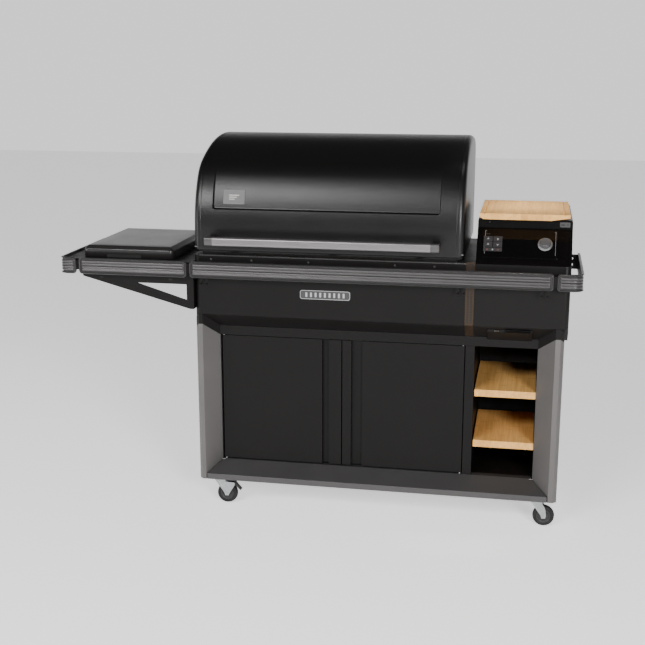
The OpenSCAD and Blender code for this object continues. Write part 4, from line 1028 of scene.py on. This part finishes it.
def make_display():
    """A touch display: four tiles with a symbol each and a lower row with three symbols."""
    lo = low("touch_display")
    x0, up0 = lo.x, 47 * MM
    back = console_prism("display_glass", x0, up0, 64 * MM, 59 * MM, 2 * MM, 1.5 * MM, 1.6 * MM,
                         "panel_gloss", "cart")
    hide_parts("touch_display")
    pitch = 32 * MM
    for row in range(3):
        tall = 20.5 * MM if row else 14.5 * MM
        up = up0 + (0.8 * MM if row == 0 else 16.6 * MM + 21.4 * MM * (row - 1))
        if row == 0:
            console_prism("tile_low", x0 + 1 * MM, up, 62 * MM, tall, 1 * MM, TILE_BASE,
                          TILE_THICK, "screen_tile")
            continue
        for column in range(2):
            console_prism(f"tile_{row}_{column}", x0 + 1 * MM + pitch * column, up, 30 * MM, tall,
                          1 * MM, TILE_BASE, TILE_THICK, "screen_tile")
            middle = (x0 + 16 * MM + pitch * column, up + tall / 2)
            symbol(f"symbol_{row}_{column}", middle, row * 2 + column)
    for k, (shift, material) in enumerate(((14, "screen_red"), (32, "screen_mark"), (50, "screen_red"))):
        disc(f"symbol_low_{k}", x0 + shift * MM, up0 + 7.6 * MM, 2.5 * MM, MARK_BASE, material)
    for k in range(2):
        console_prism(f"console_mark_{k}", x0 + (9 + 7 * k) * MM, up0 + 66 * MM, 5 * MM, 2.4 * MM, 0.8 * MM,
                      2.95 * MM, 0.2 * MM, "screen_tile")


def disc(name, x, up, radius, out, material, body="cart", thick=0.25 * MM):
    """A thin round plate on the console."""
    outline = [(radius * math.cos(k * math.pi / 12), radius * math.sin(k * math.pi / 12))
               for k in range(24)]
    return prism(name, outline, thick,
                 lambda a, b, c: console_point(x + a, up + b, out + c), material, body)


def symbol(name, middle, kind):
    """One small pale symbol made of two plain strokes."""
    x, up = middle
    console_prism(f"{name}_a", x - 3.5 * MM, up - 1 * MM, 7 * MM, 2 * MM, 0.8 * MM, MARK_BASE, MARK_THICK,
                  "screen_mark")
    lift = (1.8, -4.6, 1.8, -4.6)[kind % 4] * MM
    console_prism(f"{name}_b", x - 1.2 * MM, up + lift, 2.4 * MM, 3 * MM, 0.8 * MM, MARK_BASE, MARK_THICK,
                  "screen_mark")


def make_dial():
    """A skirted knob with a grip of fine flutes and a flat brushed cap."""
    x, up = 779 * MM, 79 * MM
    axis = console_point(0, 0, 1) - console_point(0, 0, 0)
    centre = console_point(x, up, 0)
    skirt = [(3.4 * MM, 0.0005), (3.4 * MM, 24.3 * MM), (4.4 * MM, 24.5 * MM), (6.0 * MM, 23.6 * MM),
             (6.6 * MM, 21.5 * MM), (6.8 * MM, 0.0005)]
    knob = lathe("dial_skirt", skirt, centre, axis, "dial_rim", "dial", 96)
    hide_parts("dial")
    steps = 120
    side = Vector((1, 0, 0))
    other = Vector(axis).cross(side)
    levels = [(6.4 * MM, 18.6 * MM, 0.35), (7.2 * MM, 18.6 * MM, 0.35), (15.6 * MM, 18.0 * MM, 0.35),
              (17.2 * MM, 17.2 * MM, 0.1), (17.9 * MM, 16.0 * MM, 0), (17.5 * MM, 14.8 * MM, 0),
              (17.6 * MM, 8 * MM, 0), (17.6 * MM, 0.5 * MM, 0)]
    vertices = []
    for h, r, flute in levels:
        for k in range(steps):
            a = 2 * math.pi * k / steps
            rr = r + flute * MM * math.cos(a * 40)
            vertices.append(centre + axis * h + (side * math.cos(a) + other * math.sin(a)) * rr)
    faces = ring_faces(len(levels), steps)
    faces.append(tuple(range(steps))[::-1])
    faces.append(tuple(range((len(levels) - 1) * steps, len(levels) * steps)))
    new_piece("dial_grip", vertices, faces, "dial_metal", "dial")
    stem = [(-8 * MM, 0.0005), (-8 * MM, 3.9 * MM), (3.6 * MM, 3.9 * MM), (3.6 * MM, 0.0005)]
    lathe("dial_stem", stem, centre, axis, "screw_steel", "dial", 24)
    for k in (-1, 0, 1):
        disc(f"dial_mark_{k + 1}", x + 4.2 * MM * k, up - 11.5 * MM, 1.1 * MM, 17.6 * MM, "screen_mark",
             "dial", 0.2 * MM)


def make_board():
    """The cutting board, with soft edges, a groove at each side and finger holds under its ends."""
    lo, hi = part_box("cutting_board")
    right_hold, left_hold = 62 * MM, 13 * MM
    groove_left, groove_right = lo.x + 14 * MM, hi.x - 20 * MM
    top = []
    for x in (groove_left, groove_right):
        top += [(x, hi.z), (x + 1 * MM, hi.z - 2.6 * MM), (x + 4 * MM, hi.z - 2.6 * MM),
                (x + 5 * MM, hi.z)]
    outline = [(lo.x, hi.z)] + top + [(hi.x, hi.z), (hi.x, lo.z + 9 * MM), (hi.x - right_hold, lo.z),
                                      (lo.x + left_hold, lo.z), (lo.x, lo.z + 7 * MM)]
    board = prism("board", outline[::-1], hi.y - lo.y, lambda a, b, c: (a, lo.y + c, b), "bamboo",
                  "cutting_board", 1.6 * MM)
    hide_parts("cutting_board")


# ---------------------------------------------------------------- front trim

def screw(name, place, axis, body="cart", radius=4 * MM, material="screw_steel"):
    """A pan head with a sunk socket."""
    profile = [(0, 0.0003), (0, radius), (0.5 * MM, radius), (1.5 * MM, radius * 0.82),
               (2.0 * MM, radius * 0.5), (2.0 * MM, radius * 0.42), (0.9 * MM, radius * 0.36),
               (0.9 * MM, 0.0003)]
    return lathe(name, profile, place, axis, material, body, 24)


def make_badge():
    """A blank rounded badge with a raised rim."""
    lo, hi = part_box("badge_plate")
    outline = rounded_outline(hi.x - lo.x, hi.z - lo.z, 8 * MM)

    def place(a, b, c):
        return (lo.x + a, hi.y - c, lo.z + b)

    plate = prism("badge_base", outline[::-1], 1.9 * MM, place, "badge_dark", "cart", 0.5 * MM)
    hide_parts("badge_plate")
    width, tall = hi.x - lo.x, hi.z - lo.z
    rim = 1.7 * MM
    inner = [(rim + a, rim + b) for a, b in rounded_outline(width - 2 * rim, tall - 2 * rim, 8 * MM - rim)]
    foot, head = 1.7 * MM, 2.5 * MM
    vertices = []
    for shape, depth in ((outline, foot), (outline, head), (inner, head), (inner, foot)):
        vertices += [place(a, b, depth) for a, b in shape]
    new_piece("badge_rim", vertices, ring_faces(4, len(outline), closed=True), "badge", "cart")
    # A plain pattern of upright bars stands in for lettering
    count = 9
    for k in range(count):
        bar = rounded_outline(6.5 * MM, tall - 15 * MM, 1.5 * MM)
        start = 19 * MM + (width - 38 * MM - 6.5 * MM) * k / (count - 1)
        prism(f"badge_bar_{k}", bar[::-1], 0.7 * MM,
              lambda a, b, c: place(start + a, 7.5 * MM + b, 1.8 * MM + c), "badge", "cart")


FRONT_SCREW_XS = (-361 * MM, -216 * MM, -15 * MM, 284 * MM, 417 * MM)
BEAD_INSET = 20 * MM


def make_front_trim():
    """Screws above the rail, and a bead along the top of the body, under the hood."""
    shroud_lo, shroud_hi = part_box("body_shroud")
    front = shroud_lo.y
    screw_z = high("rail_main_plate").z + 3 * MM
    for k, x in enumerate(FRONT_SCREW_XS):
        screw(f"front_screw_{k}", (x, front + 0.1 * MM, screw_z), (0, -1, 0), material="screw_dark")
    bead = [(front - 1 * MM, shroud_hi.z - 2.5 * MM), (front - 1 * MM, shroud_hi.z + 1 * MM),
            (front, shroud_hi.z + 2 * MM), (front + 5 * MM, shroud_hi.z + 2 * MM),
            (front + 5 * MM, shroud_hi.z - 0.5 * MM), (front + 0.5 * MM, shroud_hi.z - 2.5 * MM)]
    start = shroud_lo.x + BEAD_INSET
    reach = low("hopper_shell").x - 4 * MM - shroud_lo.x - BEAD_INSET
    prism("body_bead", bead[::-1], reach, lambda a, b, c: (start + c, a, b), "edge_steel", "cart",
          0.5 * MM)


VENT_ROWS = 23
VENT_PITCH = 9 * MM
VENT_HOLE = 6.8 * MM
VENT_COLUMNS = (9.5 * MM, 20.5 * MM)


def make_vent_backing():
    """A dark plate and dark hole faces: painted shade, so that the vent strip's holes read as openings."""
    lo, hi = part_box("vent_strip")
    front = low("body_shroud").y
    left, right = lo.x + 4 * MM, hi.x - 4 * MM
    foot, head = high("top_band").z + 6 * MM, hi.z - 3 * MM
    outline = [(left, foot), (right, foot), (right, head), (left, head)]
    prism("vent_shade_backing", outline, 0.5 * MM, lambda a, b, c: (a, front - 0.6 * MM + c, b), "deep_black",
          "cart")
    half = VENT_HOLE / 2
    for row in range(VENT_ROWS):
        z = hi.z - 8 * MM - row * VENT_PITCH
        for column, shift in enumerate(VENT_COLUMNS):
            x = lo.x + shift
            # Each hole face is a flat dark square: painted shade inside the opening
            hole = rounded_outline(VENT_HOLE, VENT_HOLE, 1.8 * MM, 3)
            prism(f"vent_hole_shade_{column}_{row}", hole, 0.3 * MM,
                  lambda a, b, c: (x - half + a, front - 1.75 * MM + c, z - half + b),
                  "deep_black", "cart")


def make_arm_slots():
    """Two dark plates on the side shelf's front arm: painted shade for the slots where accessories hook in.
    """
    front = low("shelf_arms").y
    z = high("shelf_arms").z - 37 * MM
    for k, x in enumerate((-762 * MM, -507 * MM)):
        slot = rounded_outline(14 * MM, 6 * MM, 2.5 * MM)
        prism(f"arm_slot_shade_{k}", slot, 0.6 * MM,
              lambda a, b, c: (x - 7 * MM + a, front - 0.3 * MM + c, z + b), "deep_black", "cart")


def make_bay_details():
    """Rods under the lower shelf, and a small tab at each inner bottom corner of the frame."""
    floor_z = high("cart_base").z
    divider, wall = high("bay_divider").x, high("bamboo_shelves").x
    recess = low("left_door").y
    for k, (x, back) in enumerate(((divider + 42 * MM, 120 * MM), (wall - 28 * MM, 60 * MM))):
        rod = [(0, 0.0003), (0, 2.2 * MM), (118 * MM, 2.2 * MM), (118 * MM, 0.0003)]
        lathe(f"bay_rod_{k}", rod, (x, back, floor_z + 1 * MM), (0.03, 0, 1), "screw_steel", "cart", 16)
        screw(f"bay_rod_foot_{k}", (x, back, floor_z), (0, 0, 1), radius=5 * MM)
    for k, x in enumerate((low("left_door").x - 6 * MM, wall - 7 * MM)):
        tab = rounded_outline(12 * MM, 3 * MM, 1 * MM)
        prism(f"corner_tab_{k}", tab, 2 * MM,
              lambda a, b, c: (x - 4 * MM + a, recess - 3 * MM + c, floor_z - 1 * MM + b),
              "screw_steel", "cart", 0.4 * MM)


def make_lid_trim():
    """Screws and a slotted plate on the hopper lid's front and right side; the slot is a dark plate,
    painted shade.
    """
    lo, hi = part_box("hopper_lid")
    front = lo.y
    screw("lid_screw_left", (lo.x + 36 * MM, front + 0.1 * MM, hi.z - 16 * MM), (0, -1, 0), "hopper_lid",
          2.6 * MM, "screw_dark")
    plate = rounded_outline(34 * MM, 17 * MM, 3 * MM)
    prism("lid_plate", plate[::-1], 1.4 * MM,
          lambda a, b, c: (hi.x - 40 * MM + a, front - c, lo.z + 3 * MM + b), "badge_dark", "hopper_lid",
          0.5 * MM)
    # The slot is a flat dark plate on the lid plate: painted shade
    slot = rounded_outline(13 * MM, 4 * MM, 1.8 * MM)
    prism("lid_slot_shade", slot[::-1], 0.5 * MM,
          lambda a, b, c: (hi.x - 36 * MM + a, front - 1.2 * MM - c, lo.z + 9 * MM + b), "deep_black",
          "hopper_lid")
    screw("lid_screw_right", (hi.x - 14 * MM, front - 1.2 * MM, lo.z + 11 * MM), (0, -1, 0), "hopper_lid",
          2.4 * MM, "deep_black")


def make_back_details():
    """Screws round the cabinet's back panel and along the back of the body."""
    lo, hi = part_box("cart_back")
    edge = 14 * MM
    levels = spread(lo.z + edge, hi.z - edge, 150 * MM)
    across = spread(lo.x + 5 * edge, hi.x - 5 * edge, 260 * MM)
    places = [(x, hi.y, z) for x in (lo.x + edge, hi.x - edge) for z in levels]
    places += [(x, hi.y, z) for x in across for z in (lo.z + edge, hi.z - edge)]
    body_back = high("body_shroud").y
    foot = low("body_shroud").z + 1.5 * edge
    places += [(x, body_back, foot) for x in spread(lo.x + edge, hi.x - edge, 260 * MM)]
    for k, place in enumerate(places):
        screw(f"back_screw_{k}", place, (0, 1, 0), radius=3.5 * MM, material="screw_dark")


def make_cleanout_trim():
    """A pale tag beside the clean-out gate."""
    lo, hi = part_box("cleanout_slide")
    start = lo.x + 23 * MM
    y, z = lo.y + 6 * MM, hi.z - 1 * MM
    slope = Vector((0, 60, -52)).normalized()
    normal = Vector((0, -52, -60)).normalized()
    origin = Vector((start, y + 1 * MM, z - 1 * MM))
    tag = rounded_outline(16 * MM, 8 * MM, 1.5 * MM)
    prism("gate_tag", tag, 0.8 * MM,
          lambda a, b, c: origin + Vector((a, 0, 0)) + slope * b + normal * c, "badge", "cleanout_gate")


make_camera()
make_lights()
make_world()
make_floor()
paint_cad_nodes()
for edge_width, names in SOFT_EDGES.items():
    for edge_node in names:
        soften(edge_node, edge_width)
make_hood()
make_label()
make_handle()
make_rails()
make_casters()
make_cover()
make_console()
make_board()
make_badge()
make_front_trim()
make_vent_backing()
make_arm_slots()
make_bay_details()
make_back_details()
make_lid_trim()
make_cleanout_trim()
